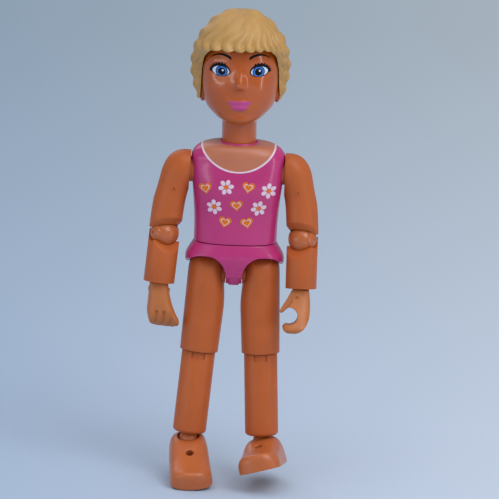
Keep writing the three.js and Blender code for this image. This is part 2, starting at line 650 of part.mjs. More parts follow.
// Hand: the palm side is -X, the thumb side is -Y.
function handBody() {
  const drop = (share) => -SEAM - (HAND_LONG - SEAM) * share;
  const outer = new THREE.SplineCurve([
    [0.86, 0], [1, 0.24], [1.03, 0.48], [0.89, 0.7], [0.42, 0.89], [-0.39, 1], [-1.28, 0.994],
  ].map(([x, z]) => new THREE.Vector2(x * PALM_BACK, drop(z)))).getPoints(14).map((p) => [p.x, p.y]);
  const inner = steps(14, -112, 100).map((turn) => [
    -GRIP_OUT + GRIP_RADIUS * Math.cos(rad(turn)), -GRIP_DROP + GRIP_RADIUS * Math.sin(rad(turn)),
  ]);
  const tip = [[-GRIP_OUT - 1, drop(0.927)], [-GRIP_OUT - 1.25, drop(0.84)]];
  const wrist = [[-0.89 * PALM_BACK, drop(0.29)], [-0.86 * PALM_BACK, drop(0)]];
  const palm = slabY([...outer, ...tip, ...inner, ...wrist], -FAR, FAR);

  const middle = through([[0, 0], [0.4, -0.16], [0.65, -0.32], [0.9, -0.57], [1, -0.56]]);
  const half = through([[0, 0.54], [0.4, 0.68], [0.65, 0.83], [0.85, 0.9], [0.95, 0.82], [1, 0.5]]);
  const reach = PALM_BACK + GRIP_OUT + 1.5;
  const rings = steps(9, 1, 0).map((t) => {
    const wide = half(t) * HAND_WIDE;
    return oval(even(INNER_SIDES), drop(t), reach / 2, wide, wide, HAND_SQUARE)
      .map((p) => p.add(new THREE.Vector3(PALM_BACK + 0.1 - reach / 2, middle(t) * HAND_WIDE, 0)));
  });
  let hand = palm.intersect(skin(rings));
  const pitch = (2 * HAND_WIDE - 0.8) / FINGERS;
  for (let i = 1; i < FINGERS; i += 1) {
    const y = -0.5 * HAND_WIDE + pitch * (i - FINGERS / 2);
    const out = GRIP_OUT + PALM_BACK - 0.18;
    const disc = barY(FAR, y - 0.13, y + 0.13, -GRIP_OUT, -GRIP_DROP, 40)
      .subtract(barY(out - FINGER_GROOVE, -FAR, FAR, -GRIP_OUT, -GRIP_DROP, 40));
    hand = hand.subtract(disc.intersect(block(-FAR, FAR, -FAR, FAR, -FAR, -GRIP_DROP - 0.4)));
  }
  const thumbTip = -GRIP_OUT - GRIP_RADIUS - 0.23;
  const thumb = slabY([
    [0.56 * PALM_BACK, drop(0.08)], [-0.78 * PALM_BACK, drop(0.08)], [thumbTip * 0.66, drop(0.28)],
    [thumbTip, drop(0.5)], [thumbTip + 0.2, drop(0.55)], [thumbTip + 0.65, drop(0.53)],
    [thumbTip * 0.66, drop(0.45)], [thumbTip * 0.43, drop(0.385)], [0, drop(0.41)],
  ], -0.33 * HAND_WIDE, 0.33 * HAND_WIDE);
  const peg = bar(WRIST_PEG, WRIST_PEG, -0.8, WRIST_PEG_LONG);
  return hand.add(turned(thumb, -THUMB_LEAN, 0, 0)).add(peg);
}

// Squared-off arc as (radius, height) pairs, from one turn to another.
function squareArc(size, count, from, to) {
  return steps(count, from, to).map((turn) => {
    const [c, s] = [Math.cos(rad(turn)), Math.sin(rad(turn))];
    const radius = Math.abs(turn) === 90 ? 0 : size * c ** (2 / THIGH_SQUARE);
    return [radius, size * Math.sign(s) * Math.abs(s) ** (2 / THIGH_SQUARE)];
  });
}

// Pelvis: the flared lower part of the swimsuit, hollowed for the thighs.
function pelvisBody() {
  const drops = [SEAM, 0.9, 1.9, HIP_FLARE_DROP, HIP_FLARE_DROP + 0.8, HIP_FLARE_DROP + 2, HIP_DROP];
  const half = through([
    [SEAM, WAIST_HALF], [HIP_FLARE_DROP, HIP_HALF], [HIP_FLARE_DROP + 2, HIP_HALF - 0.15],
    [HIP_DROP, HIP_HALF - 0.9],
  ]);
  const front = through([[SEAM, WAIST_FRONT], [HIP_FLARE_DROP, HIP_FRONT], [HIP_DROP, HIP_FRONT - 1.0]]);
  const back = through([[SEAM, WAIST_BACK], [HIP_FLARE_DROP, HIP_BACK], [HIP_DROP, HIP_BACK - 0.5]]);
  const levels = drops.map((d) => oval(even(BODY_SIDES), -d, half(d), front(d), back(d), BODY_SQUARE));
  const trunk = skin(levels.reverse());
  const room = THIGH_DOME + SEAM;
  let body = trunk;
  for (const side of [-1, 1]) {
    const x = side * HIP_OUT;
    const [near, far] = side < 0 ? [-FAR, -WEB_HALF] : [WEB_HALF, FAR];
    const [edge, wide] = side < 0 ? [-FAR, x] : [x, FAR];
    const slope = (HIP_DROP - HIP_FLARE_DROP) / (HIP_FRONT + HIP_BACK);
    const brow = -HIP_DROP + room;
    const past = HIP_BACK + 9;
    const slant = slabX([
      [-HIP_FRONT - 9, brow], [-HIP_FRONT, brow], [past, brow - slope * (HIP_FRONT + past)],
      [past, -FAR], [-HIP_FRONT - 9, -FAR],
    ], edge, wide);
    const barrel = turned(revolve(squareArc(room, 12, 90, -90), INNER_SIDES), 0, 90, 0);
    body = body
      .subtract(barrel.translate([x, 0, -HIP_DROP]))
      .subtract(barY(room, -FAR, 0, x, -HIP_DROP, LIMB_SIDES))
      .subtract(block(near, far, -FAR, FAR, -FAR, -HIP_DROP))
      .subtract(slant);
  }
  const web = slabX([
    [-HIP_FRONT + 0.35, -HIP_FLARE_DROP], [-HIP_FRONT + 1.0, -HIP_DROP + 1],
    [-HIP_FRONT + 1.9, -CROTCH_DROP + 0.9], [-HIP_FRONT + 2.6, -CROTCH_DROP],
    [HIP_BACK - 2.9, -CROTCH_DROP], [HIP_BACK - 1.6, -CROTCH_DROP + 1.1],
    [HIP_BACK - 0.7, -HIP_DROP + 1], [HIP_BACK - 0.5, -HIP_FLARE_DROP],
  ], -WEB_HALF, WEB_HALF);
  const under = TORSO_WALL + SEAM;
  const post = revolve([
    [0, -1], [POST_RADIUS, -1], [POST_RADIUS, under], [POST_RADIUS + FLANGE_LIP, under],
    [POST_RADIUS + FLANGE_LIP, under + FLANGE_THICK], [0, under + FLANGE_THICK],
  ]);
  return joined([body, web, post]).subtract(barX(AXLE_RADIUS + PLAY / 2, -FAR, FAR, 0, -HIP_DROP));
}

// Thigh, about the hip axis.
function thighBody(splay) {
  const chamfer = 0.25;
  const leg = revolve([
    ...squareArc(THIGH_DOME, 8, 90, 0),
    [KNEE_RADIUS, -THIGH_LONG + chamfer],
    [KNEE_RADIUS - chamfer, -THIGH_LONG],
    [0, -THIGH_LONG],
  ]);
  const above = block(-FAR, FAR, -FAR, FAR, 0, FAR)
    .subtract(barX(THIGH_DOME, -FAR, FAR, 0, 0, INNER_SIDES));
  const bore = turned(barX(AXLE_RADIUS + PLAY, -FAR, AXLE_REACH - HIP_OUT + SEAM, 0, 0), 0, splay, 0);
  const gap = KNUCKLE_HALF + SEAM;
  const round = KNUCKLE_RADIUS + SEAM;
  const knee = joined([
    barX(round, -gap, gap, 0, 0, BALL_SIDES),
    block(-gap, gap, 0, FAR, -1, round),
    block(-gap, gap, -round, FAR, -FAR, 0),
    slabX([[0, 0], [FAR, FAR], [FAR, -1], [0, -1]], -FAR, FAR),
    barX(KNEE_PIN + PLAY, -KNEE_PIN_HALF - SEAM, KNEE_PIN_HALF + SEAM, 0, 0),
  ]).translate([0, 0, -THIGH_LONG]);
  return leg.subtract(turned(above, 0, splay, 0)).subtract(bore).subtract(knee);
}

// Calf, about the knee pin.
function calfBody() {
  const fillet = steps(3, 0, 90).map((turn) => [
    CALF_RADIUS - CALF_FILLET * (1 - Math.cos(rad(turn))),
    -CALF_LONG + CALF_FILLET * (1 - Math.sin(rad(turn))),
  ]);
  const shank = revolve([
    [0, -SEAM], [CALF_RADIUS - 0.1, -SEAM], [CALF_RADIUS, -SEAM - 0.1], ...fillet, [0, -CALF_LONG],
  ]);
  const rear = slabX([[0, -SEAM], [FAR, -SEAM - FAR], [FAR, 1], [0, 1]], -FAR, FAR);
  const mark = block(
    -CALF_MARK_WIDE / 2, CALF_MARK_WIDE / 2, -FAR, -CALF_RADIUS + CALF_MARK_DEEP, -CALF_MARK_HIGH, 1,
  );
  const tongue = joined([
    barX(KNUCKLE_RADIUS, -KNUCKLE_HALF, KNUCKLE_HALF, 0, 0, BALL_SIDES),
    block(-KNUCKLE_HALF, KNUCKLE_HALF, -KNUCKLE_RADIUS, 1.2, -4, 0),
  ]);
  return shank.subtract(rear).subtract(mark).add(tongue)
    .subtract(barX(KNEE_PIN + PLAY, -FAR, FAR, 0, 0))
    .subtract(bar(ANKLE_STEM + PLAY, ANKLE_STEM + PLAY, -FAR, -CALF_LONG + ANKLE_STEM_LONG + SEAM));
}

function ankleBody() {
  return ball(ANKLE_BALL).add(bar(ANKLE_STEM, ANKLE_STEM, 0, ANKLE_DROP + ANKLE_STEM_LONG));
}

// Foot, about the middle of the ankle ball: arched sections on a flat sole.
function footBody() {
  const toe = -TOE_FRONT;
  const wide = through([
    [toe, TOE_HALF - 1.5], [toe + 0.8, TOE_HALF - 0.45], [toe + 2.4, TOE_HALF], [-3, HEEL_HALF + 0.35],
    [1, HEEL_HALF], [HEEL_BACK - 1, HEEL_HALF - 0.35], [HEEL_BACK, HEEL_HALF - 1.5],
  ]);
  const collar = SOLE_DROP + COLLAR_UP;
  const high = through([
    [toe, TOE_HIGH - 1.3], [toe + 0.8, TOE_HIGH - 0.35], [toe + 2.4, TOE_HIGH], [-6, TOE_HIGH + 0.75],
    [-2.2, collar - 0.15], [0, collar], [1.6, collar - 0.2], [HEEL_BACK - 1, collar - 1],
    [HEEL_BACK, collar - 2.6],
  ]);
  const places = [0, 0.25, 0.8, 1.5, 2.4, 3.8, 5.6, 7.6, 9.4, 11, 12.1, 13.4, 14.6, 15.4, 16];
  const rings = places.map((p) => {
    const y = toe + (p * (TOE_FRONT + HEEL_BACK)) / places.at(-1);
    const [w, h] = [wide(y), high(y)];
    return steps(14, 180, 0).map((turn) => {
      const [c, s] = [Math.cos(rad(turn)), Math.sin(rad(turn))];
      const x = w * Math.sign(c) * Math.abs(c) ** (2 / 2.9);
      return new THREE.Vector3(x, y, -SOLE_DROP + h * Math.abs(s) ** (2 / 2.6));
    });
  });
  const hole = turned(bar(INSTEP_HOLE, INSTEP_HOLE, -INSTEP_HOLE_DEEP, 3), 16, 0, 0)
    .translate([0, -INSTEP_HOLE_FRONT, -SOLE_DROP + high(-INSTEP_HOLE_FRONT)]);
  let foot = skin(rings)
    .subtract(ball(ANKLE_BALL + PLAY))
    .subtract(bar(ANKLE_BALL - 0.1, ANKLE_BALL + 0.55, 0, 0.9, BALL_SIDES))
    .subtract(hole);
  const socket = bar(STUD_SOCKET, STUD_SOCKET, -FAR, -SOLE_DROP + STUD_DEEP, BALL_SIDES);
  for (const y of [-0.2, -0.2 - STUD_PITCH]) {
    foot = foot.subtract(socket.translate([0, y, 0]));
  }
  return foot;
}

function sided(body, sign) {
  return sign < 0 ? body.mirror([1, 0, 0]) : body;
}

function arm(side, chest) {
  const pose = SIDES[side];
  const { sign } = pose;
  const shoulder = pivot(`${side}_shoulder`, sign * (SHOULDER_HALF + pose.armGap), 0, SHOULDER_PIVOT_UP);
  shoulder.rotation.set(-rad(pose.armForward), -sign * rad(pose.armOut), 0, "YXZ");
  shoulder.add(node(`${side}_upper_arm`, sided(upperArmBody(pose.armGap), sign), SKIN));
  chest.add(shoulder);

  const swivel = pivot(`${side}_elbow_swivel`, sign * ELBOW_OUT, 0, -ELBOW_DROP);
  swivel.rotation.y = -sign * rad(ARM_SPLAY);
  shoulder.add(swivel);

  const fold = pivot(`${side}_elbow`);
  fold.rotation.order = "YXZ";
  fold.rotation.y = sign * rad(ARM_SPLAY - pose.forearmLean);
  fold.rotation.z = -sign * rad(-pose.elbowTurn);
  const upright = (stem) => turned(
    turned(stem, 0, -(ARM_SPLAY - pose.forearmLean), 0), 0, 0, -pose.elbowTurn,
  );
  fold.add(node(`${side}_elbow_ball`, sided(elbowBallBody(upright), sign), STEM));
  swivel.add(fold);

  const lower = pivot(`${side}_forearm_bend`);
  lower.add(node(`${side}_forearm`, sided(forearmBody(), sign), SKIN));
  fold.add(lower);

  const wrist = pivot(`${side}_wrist`, 0, 0, -FOREARM_LONG);
  wrist.rotation.z = -sign * rad(pose.wristTurn + pose.elbowTurn);
  wrist.add(node(`${side}_hand`, sided(handBody(), sign), SKIN));
  lower.add(wrist);
}

function leg(side, hips) {
  const pose = SIDES[side];
  const { sign } = pose;
  const hip = pivot(`${side}_hip`, sign * HIP_OUT, 0, -HIP_DROP);
  hip.rotation.x = -rad(LEG_FORWARD);
  hips.add(hip);

  const axis = pivot(`${side}_leg`);
  axis.rotation.y = -sign * rad(pose.legSplay);
  axis.add(node(`${side}_thigh`, sided(thighBody(pose.legSplay), sign), SKIN));
  hip.add(axis);

  const knee = pivot(`${side}_knee`, 0, 0, -THIGH_LONG);
  knee.add(node(`${side}_calf`, calfBody(), SKIN));
  axis.add(knee);
  const pin = node(`${side}_knee_pin`, barX(KNEE_PIN, -KNEE_PIN_HALF, KNEE_PIN_HALF, 0, 0), METAL);
  pin.position.z = -THIGH_LONG;
  axis.add(pin);

  const ankle = pivot(`${side}_ankle`, 0, 0, -CALF_LONG - ANKLE_DROP);
  ankle.add(node(`${side}_ankle_ball`, ankleBody(), STEM));
  knee.add(ankle);

  const foot = pivot(`${side}_foot_tilt`);
  foot.rotation.set(rad(pose.footDown), sign * rad(pose.footRoll), sign * rad(pose.footOut), "ZXY");
  foot.add(node(`${side}_foot`, footBody(), SKIN));
  ankle.add(foot);
}

const doll = new THREE.Group();
doll.name = "mini_doll";

const hips = pivot("hips");
hips.add(node("pelvis", pelvisBody(), SUIT));
hips.add(node("hip_axle", barX(AXLE_RADIUS, -AXLE_REACH, AXLE_REACH, 0, -HIP_DROP), METAL));
doll.add(hips);

const chest = pivot("waist");
const torso = torsoHalves();
chest.add(node("torso_front", torso.front, SUIT));
chest.add(node("torso_back", torso.back, SUIT));
doll.add(chest);

const neck = pivot("neck", 0, 0, TORSO_HEIGHT);
neck.rotation.y = -rad(HEAD_TILT);
neck.add(node("head", headBody(), SKIN));
neck.add(node("hair", hairBody(), HAIR));
chest.add(neck);

for (const side of Object.keys(SIDES)) {
  arm(side, chest);
  leg(side, hips);
}

// The origin is in the middle of the lowest level of the doll.
doll.updateMatrixWorld(true);
const box = new THREE.Box3().setFromObject(doll, true);
doll.position.set(-(box.min.x + box.max.x) / 2, -(box.min.y + box.max.y) / 2, -box.min.z);
doll.updateMatrixWorld(true);

export default doll;
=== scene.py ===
"""Looks of an articulated mini doll: glossy moulded pieces laid on its packed construction.

Pieces are modelled in millimetres about their own joint and then seated in the frame, which is in metres.
The doll faces -Y, and its own right side is at -X.
"""
import json
import math
from functools import partial

import bmesh
import bpy
from mathutils import Matrix, Vector
from mathutils.bvhtree import BVHTree


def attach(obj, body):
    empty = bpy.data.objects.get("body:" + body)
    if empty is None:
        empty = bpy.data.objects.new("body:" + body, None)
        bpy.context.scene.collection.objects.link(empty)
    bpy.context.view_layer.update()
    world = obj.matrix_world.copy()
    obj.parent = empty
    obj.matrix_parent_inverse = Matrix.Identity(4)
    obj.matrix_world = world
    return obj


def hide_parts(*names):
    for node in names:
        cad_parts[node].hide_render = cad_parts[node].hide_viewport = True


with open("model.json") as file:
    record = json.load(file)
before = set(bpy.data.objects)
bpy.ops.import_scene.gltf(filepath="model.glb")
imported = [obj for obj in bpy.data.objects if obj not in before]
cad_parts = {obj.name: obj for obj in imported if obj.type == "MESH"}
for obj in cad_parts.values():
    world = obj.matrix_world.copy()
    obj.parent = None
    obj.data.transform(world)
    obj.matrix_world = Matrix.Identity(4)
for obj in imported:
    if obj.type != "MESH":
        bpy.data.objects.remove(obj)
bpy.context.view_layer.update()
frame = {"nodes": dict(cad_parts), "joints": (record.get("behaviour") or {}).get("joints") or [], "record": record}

bl_info = {
    "name": "Articulated mini doll",
    "version": (1, 0, 0),
    "blender": (4, 5, 0),
    "location": "3D View > Sidebar > Doll",
    "description": "Models the pieces of a small jointed doll on its packed construction and lights them",
    "category": "Object",
}

MM = 0.001
FAR = 40  # reach of a cutter that passes right through
SIDES = {"right": -1, "left": 1}
JOINTS = {joint["name"]: joint for joint in frame["joints"]}
SOLES = {mount["name"]: mount for mount in frame["record"]["mounts"]}

# Clearances, rounded edges and creases. Sizes are in millimetres and turns in degrees.
SEAM, PLAY = 0.2, 0.1
TORSO_EDGE, HAIR_EDGE, ARM_EDGE, BALL_EDGE = 0.07, 0.08, 0.09, 0.06
SLEEVE_EDGE, THIGH_EDGE, CALF_EDGE = 0.13, 0.16, 0.04
CREASE, HEAD_CREASE, SOFT_CREASE = 32, 50, 60  # turns past which an edge shows as sharp
WELD, PRINT_WELD, CUT_WELD = 1e-4, 1e-5, 2e-4  # distances at which points become one
VOXEL, FINE_VOXEL = 0.1, 0.085  # grain at which a moulded shape is rounded
LEAST_VOLUME = 1e-3

# Facets
LIMB_SIDES, PIN_SIDES, BALL_SIDES, PEG_SIDES = 72, 40, 64, 48
BODY_COLUMNS, FACE_COLUMNS, HAIR_COLUMNS, HAND_COLUMNS, FOOT_COLUMNS = 144, 168, 360, 64, 112
FILM_COLUMNS = 240

# Torso, up from the waist seam. A square of 2 gives an oval, and more a squarer section.
BODY_SQUARE = 2.6
WAIST_HALF, WAIST_FRONT, WAIST_BACK = 7.9, 5.2, 4.7
CHEST_HALF, CHEST_FRONT, CHEST_BACK, CHEST_UP = 8.5, 5.9, 4.9, 10.5
SHOULDER_HALF, SHOULDER_FRONT, SHOULDER_BACK = 8.95, 5.2, 4.8
SHOULDER_ROUND, SHOULDER_SQUARE = 3.2, 2.3
COLLAR_HALF, COLLAR_DEEP = 4.0, 3.4
NECK_RADIUS, NECK_SEAT = 3.3, 0.7
NECK_RIM = ((0.46, 0), (0.42, 0.2), (0.32, 0.31), (0.16, 0.31), (0.04, 0.22), (0, 0.08), (0, -NECK_SEAT))
WALL_SHARE = 0.6  # share of the torso's levels below the rounding of the shoulders

# Head and hair, up from the top of the torso
CHIN_UP, SKULL_UP = 4.0, 24.6
FACE_HALF, FACE_FRONT, FACE_BACK, FACE_SQUARE = 7.3, 7.0, 7.4, 2.15
NOSE_UP, NOSE_OUT, NOSE_HALF = 12.3, 1.35, 0.95
LIP_UP, LIP_OUT = 8.65, 0.45
EYE_UP, EYE_OUT, EYE_DEEP = 14.95, 3.65, 0.3
EAR_UP, EAR_WIDE, EAR_DEEP, EAR_HIGH, EAR_BACK, EAR_ROOT = 9.6, 0.75, 1.25, 1.9, 0.5, 0.25
# Soft features of the face: how far out, distance from the middle, half width, height, half height
FACE_FEATURES = [
    (LIP_OUT, 0, 2.0, LIP_UP + 0.45, 0.5),
    (LIP_OUT * 1.1, 0, 1.6, LIP_UP - 0.65, 0.6),
    (0.35, 0, 1.8, CHIN_UP + 1.5, 0.9),
    (-EYE_DEEP, EYE_OUT, 2.0, EYE_UP, 1.5),
    (0.14, 4.0, 1.7, 11.0, 1.7),
]
HAIR_TOP = SKULL_UP + 1.05
HAIR_HALF, HAIR_FRONT, HAIR_BACK = FACE_HALF + 2.1, FACE_FRONT + 1.6, FACE_BACK + 1.8
HAIR_END, HAIR_NAPE = 8.5, 6.6
HAIR_SQUARE, HAIR_DOME, DOME_TILT = 2.1, 4.5, 75
FRINGE_UP = HAIR_TOP - 6.5
TEMPLE_WIDE, TEMPLE_HIGH = 2.1, 4
PARTING = Vector((2.9, -1.5))
LOCK_ANGLE, STRAND_ANGLE, CURL_HIGH = 15, 15, 2.6

# Arms and hands
ARM_TOP, ARM_HALF, DELTOID_HALF, DELTOID_DEEP = 3.65, 3.05, 3.45, 3.5
DELTOID_DROP, DELTOID_SQUARE, ARM_SPLAY = 0.4, 2.6, 6.5
ARM_GAP = {"right": 0.4, "left": 0.3}
ARM_GATE_DROP, GATE_RADIUS, GATE_HIGH, GATE_ROOT = 3.7, 0.45, 0.12, 0.4
ELBOW_BALL, ELBOW_PIN, ELBOW_PIN_REACH, ELBOW_DIMPLE = 2.5, 1.6, 2.72, 0.25
SOCKET_UP, SOCKET_SHIFT, SOCKET_BACK = 0.7, 1.05, 1.2
BEVEL_HIGH, BEVEL_WIDE, BEVEL_LEDGE = 9, 6, 0.3
FOREARM_RADIUS, FOREARM_TOP = 2.95, 0.45
NOTCH_ANGLE, NOTCH_IN, NOTCH_UP, NOTCH_LONG = 50, 0.3, 0.1, 6
SHOULDER_PEG, WRIST_PEG, PEG_WELL = 2.4, 1.25, 3.2
HAND_TURN = {"right": 152, "left": -62}
GRIP_RADIUS, GRIP_OUT, GRIP_DROP, PALM_BACK = 1.62, 2.1, 5.2, 1.8
HAND_LONG, HAND_WIDE, HAND_SQUARE, THUMB_LEAN = 8.5, 3.25, 3.2, 8
FINGERS, GROOVE = 4, 0.3

# Pelvis, down from the waist seam
HIP_HALF, HIP_FRONT, HIP_BACK, HIP_FLARE_DROP = 9.35, 5.6, 5.7, 2.9
CROTCH_DROP, WEB_HALF, GROIN_SQUARE = 8.3, 0.75, 1.9
STRIP_HALF, PANEL_HALF, PANEL_BACK, PANEL_UP = 0.95, 1.5, 0.75, 0.12
HIP_PLAY, HUB_RADIUS = 0.34, 2.0
THIGH_INNER, GROIN_INNER = 0.78, 0.83  # shares to which the sides toward the middle are drawn in
THIGH_PLAIN, THIGH_DRAWN = -6.8, 1.5  # levels on the thigh between which its inner side is drawn in

# Legs and feet
THIGH_DOME, THIGH_SQUARE, KNEE_RADIUS = 3.85, 3.2, 3.62
KNUCKLE_RADIUS, KNUCKLE_HALF = 2.3, 1.6
CALF_RADIUS, CALF_FILLET = 3.17, 0.7
CALF_MARK_WIDE, CALF_MARK_HIGH, CALF_MARK_DEEP = 2.5, 1.4, 0.24
ANKLE_BALL, ANKLE_STEM, ANKLE_DROP = 1.75, 1.1, 1.35
SOLE_DROP, HEEL_BACK, TOE_FRONT, HEEL_HALF, TOE_HALF = 4.9, 3.9, 12.1, 3.7, 4.05
COLLAR_UP, TOE_HIGH, TOE_ROUND, TOE_SQUARE = 0.85, 3.35, 3.0, 2.3
FOOT_SQUARE, FOOT_SQUARE_UP = 3.8, 3.2
INSTEP_HOLE, INSTEP_HOLE_FRONT, INSTEP_HOLE_DEEP, INSTEP_HOLE_LEAN = 0.74, 5.0, 2.2, 16
STUD_SOCKET, STUD_PITCH, STUD_BACK, STUD_DEEP = 2.45, 8.0, -0.2, 1.6
SOLE_SHARE = 0.25  # share of a foot section's columns along the flat sole

# Prints: order of the inks, thickness of a film, and lift of the lowest layer and of each one above it
LINE_INK, WHITE_INK, RIM_INK, IRIS_INK, LIP_INK = range(5)
PALE_INK, WARM_INK, LIGHT_INK = range(3)
FILM, LIFT, LAYER, SUIT_LIFT, SUIT_LAYER = 0.05, 0.012, 0.008, 0.02, 0.01
LID_SHARES, ALMOND_ACROSS, ALMOND_UP = (0.54, 0.46), 0.96, 1.12
LID_AROUND, LID_ABOVE, LID_BELOW, IRIS_SHARE = 0.24, 0.5, 0.13, 0.8
GAZE, GLINT, GLINT_SHIFT = Vector((-0.16, -0.02)), 0.4, Vector((0.2, 0.22))
LASH_TURNS, LASH_LEANS, LASH_SIZES, LASH_HALF = (-6, 112), (-4, 102), (1.05, 0.75), 0.32
BROW_HALF, BROW_UP, BROW_ARCH = 2.0, 2.45, 0.78
LIP_CORNER, LIP_RISE, LIP_DIP, LIP_FULL = 0.62, 0.16, 0.12, 1.85
NECKLINE_HALF, NECKLINE_BACK, NECKLINE_ROWS, TRIM_ROWS = 6.95, 0.75, 40, 4
NECK_LEVEL = 1.02  # level that stands for the neck's rim, just past the collar
PETALS, PETAL_LONG, PETAL_WIDE, PETAL_OUT, FLOWER_MIDDLE = 6, 0.17, 0.13, 0.31, 0.27
HEART_SHARE, HEART_LINE, HEART_INSIDE = 0.85, 0.68, 0.54
# Motifs of the suit: millimetres across and up from the waist, kind, and turn
SUIT_MOTIFS = [
    (-6.0, 10.7, "heart", 14), (-2.1, 11.3, "flower", 10), (2.1, 11.3, "heart", -8), (6.0, 10.7, "flower", 25),
    (-4.2, 7.3, "flower", 40), (0.0, 7.7, "heart", 4), (4.2, 7.3, "flower", 12),
    (-2.1, 4.3, "heart", -10), (2.1, 4.3, "heart", 12),
]

# Stage: colours from 0 to 255 or as shares of the paper's colour, lengths in metres
CAMERA_ASIDE = Vector((2.72, -2.0)) * MM  # right and up of the waist, at the waist's distance
# The paper's colour carries painted shade: it darkens toward the left and turns greyer and darker far behind,
# where light falls off
FLOOR_HALF, PAPER_TURN, PAPER_SHADE_FADE = 6, 0.06, (0.05, 0.42)
PAPER_LEFT_SHADE, PAPER_FAR_SHADE, PAPER_FIBRE = (0.66, 0.76, 0.86), (0.82, 0.83, 0.77), (0.96, 0.96, 0.96)
FAR_TONE, EYE_WHITE, STEEL = (124, 137, 154), (212, 218, 228), (186, 186, 190)
ROOM_TINT, ROOM_LIGHT = (0.96, 0.97, 1, 1), 0.56
# Name, place from the waist, width and height of each lamp, and the setting that holds its power
LAMPS = [
    ("key_lamp", (0.3, -0.4, 0.45), 0.35, 0.35, "key"),
    ("fill_lamp", (-0.5, -0.5, 0.15), 0.4, 0.4, "fill"),
    ("top_lamp", (0.1, -0.35, 1.3), 1.4, 1.2, "top"),
    ("back_lamp", (-0.35, 0.7, 0.5), 0.5, 0.5, "back"),
    ("left_strip", (-0.34, -0.2, 0.0), 0.3, 0.03, "strips"),
    ("right_strip", (0.34, -0.2, 0.04), 0.03, 0.2, "strips"),
]

# Plastics: colour, roughness, mottle, coat, light let into the plastic, and sockets that differ
PLASTICS = {
    "skin_plastic": ("skin", 0.22, 0.05, 0.4, 0.05, {}),
    "limb_plastic": ("limb", 0.4, 0.05, 0.0, 0.05, {"Specular_IOR_Level": 0.3}),
    "hand_plastic": ("hand", 0.42, 0.05, 0.0, 0.06, {}),
    "foot_plastic": ("joint", 0.32, 0.05, 0.1, 0.06, {}),
    "joint_plastic": ("joint", 0.24, 0.04, 0.15, 0.05, {}),
    "suit_plastic": ("suit", 0.24, 0.05, 0.15, 0.02, {}),
    "hair_plastic": ("hair", 0.42, 0.06, 0.08, 0.08, {}),
    "neckline_ink": ("bare", 0.42, 0.05, 0.6, 0.0, {"Coat_Roughness": 0.38}),
}
FLOW_SCALE, WEAR_SCALE, PEEL_SCALE, FIBRE_SCALE = 190, 420, 1400, 900


def spot(joint):
    """Where a joint is, in metres."""
    return Vector(JOINTS[joint]["pos_m"])


def axis(joint):
    """Direction of a joint's axis."""
    return Vector(JOINTS[joint]["axis"]).normalized()


def seat(origin, across, up):
    """Matrix from a piece's own millimetres to the frame: Z runs up, and X lies close to across."""
    z = up.normalized()
    y = z.cross(across).normalized()
    x = y.cross(z)
    turn = Matrix((x, y, z)).transposed().to_4x4()
    return Matrix.Translation(origin) @ turn @ Matrix.Scale(MM, 4)


def body_seat():
    return seat(spot("waist_turn"), Vector((1, 0, 0)), axis("waist_turn"))


def head_seat():
    return seat(spot("head_turn"), Vector((1, 0, 0)), axis("head_turn"))


def upper_arm_seat(side):
    across = -axis(f"{side}_shoulder_swing")
    hang = spot(f"{side}_elbow_bend") - spot(f"{side}_shoulder_swing")
    return seat(spot(f"{side}_shoulder_swing"), across, across * hang.dot(across) - hang)


def forearm_seat(side):
    up = axis(f"{side}_wrist_turn")
    pin = SIDES[side] * axis(f"{side}_elbow_bend")
    return seat(spot(f"{side}_elbow_bend"), pin.cross(up), up)


def hand_seat(side):
    turn = Matrix.Rotation(math.radians(HAND_TURN[side]), 4, "Z")
    arm = forearm_seat(side)
    arm.translation = spot(f"{side}_wrist_turn")
    return arm @ turn


def thigh_seat(side):
    hip, knee = spot(f"{side}_hip_swing"), spot(f"{side}_knee_bend")
    return seat(hip, axis(f"{side}_knee_bend"), hip - knee)


def calf_seat(side):
    knee, ankle = spot(f"{side}_knee_bend"), spot(f"{side}_foot_tilt")
    return seat(knee, axis(f"{side}_knee_bend"), knee - ankle)


def ankle_seat(side):
    calf = calf_seat(side)
    calf.translation = spot(f"{side}_foot_tilt")
    return calf


def foot_seat(side):
    down = Vector(SOLES[f"{side}_sole"]["axis"])
    return seat(spot(f"{side}_foot_tilt"), axis(f"{side}_foot_tilt"), -down)


def reach(one, other):
    """Distance between two joints in millimetres."""
    return (spot(one) - spot(other)).length / MM


TORSO_HEIGHT = reach("head_turn", "waist_turn")
SHOULDER_UP = TORSO_HEIGHT - SHOULDER_ROUND
FOREARM_LONG = reach("right_elbow_bend", "right_wrist_turn")
THIGH_LONG = reach("right_hip_swing", "right_knee_bend")
CALF_LONG = reach("right_knee_bend", "right_foot_tilt") - ANKLE_DROP
HIP_OUT = reach("left_hip_swing", "right_hip_swing") / 2
HIP_DROP = (spot("waist_turn") - spot("right_hip_swing")).z / MM


def steps(count, low, high):
    return [low + (high - low) * i / count for i in range(count + 1)]


def mix(low, high, share):
    return low + (high - low) * share


def smoothstep(value, low, high):
    share = min(max((value - low) / (high - low), 0), 1)
    return share * share * (3 - 2 * share)


def bump(x, half):
    return math.exp(-((x / half) ** 2))


def power(value, exponent):
    """Power that keeps the sign."""
    return math.copysign(abs(value) ** exponent, value)


def through(pairs):
    """Smooth curve through a few (place, size) pairs."""
    last = len(pairs) - 1
    slopes = []
    for i in range(len(pairs)):
        (t0, v0), (t1, v1) = pairs[max(i - 1, 0)], pairs[min(i + 1, last)]
        slopes.append((v1 - v0) / (t1 - t0))

    def curve(t):
        i = 0
        while i < last - 1 and t > pairs[i + 1][0]:
            i += 1
        (t0, v0), (t1, v1) = pairs[i], pairs[i + 1]
        span = t1 - t0
        u = min(max((t - t0) / span, 0), 1)
        m0, m1 = slopes[i] * span, slopes[i + 1] * span
        a = 2 * v0 - 2 * v1 + m0 + m1
        b = -3 * v0 + 3 * v1 - 2 * m0 - m1
        return ((a * u + b) * u + m0) * u + v0

    return curve


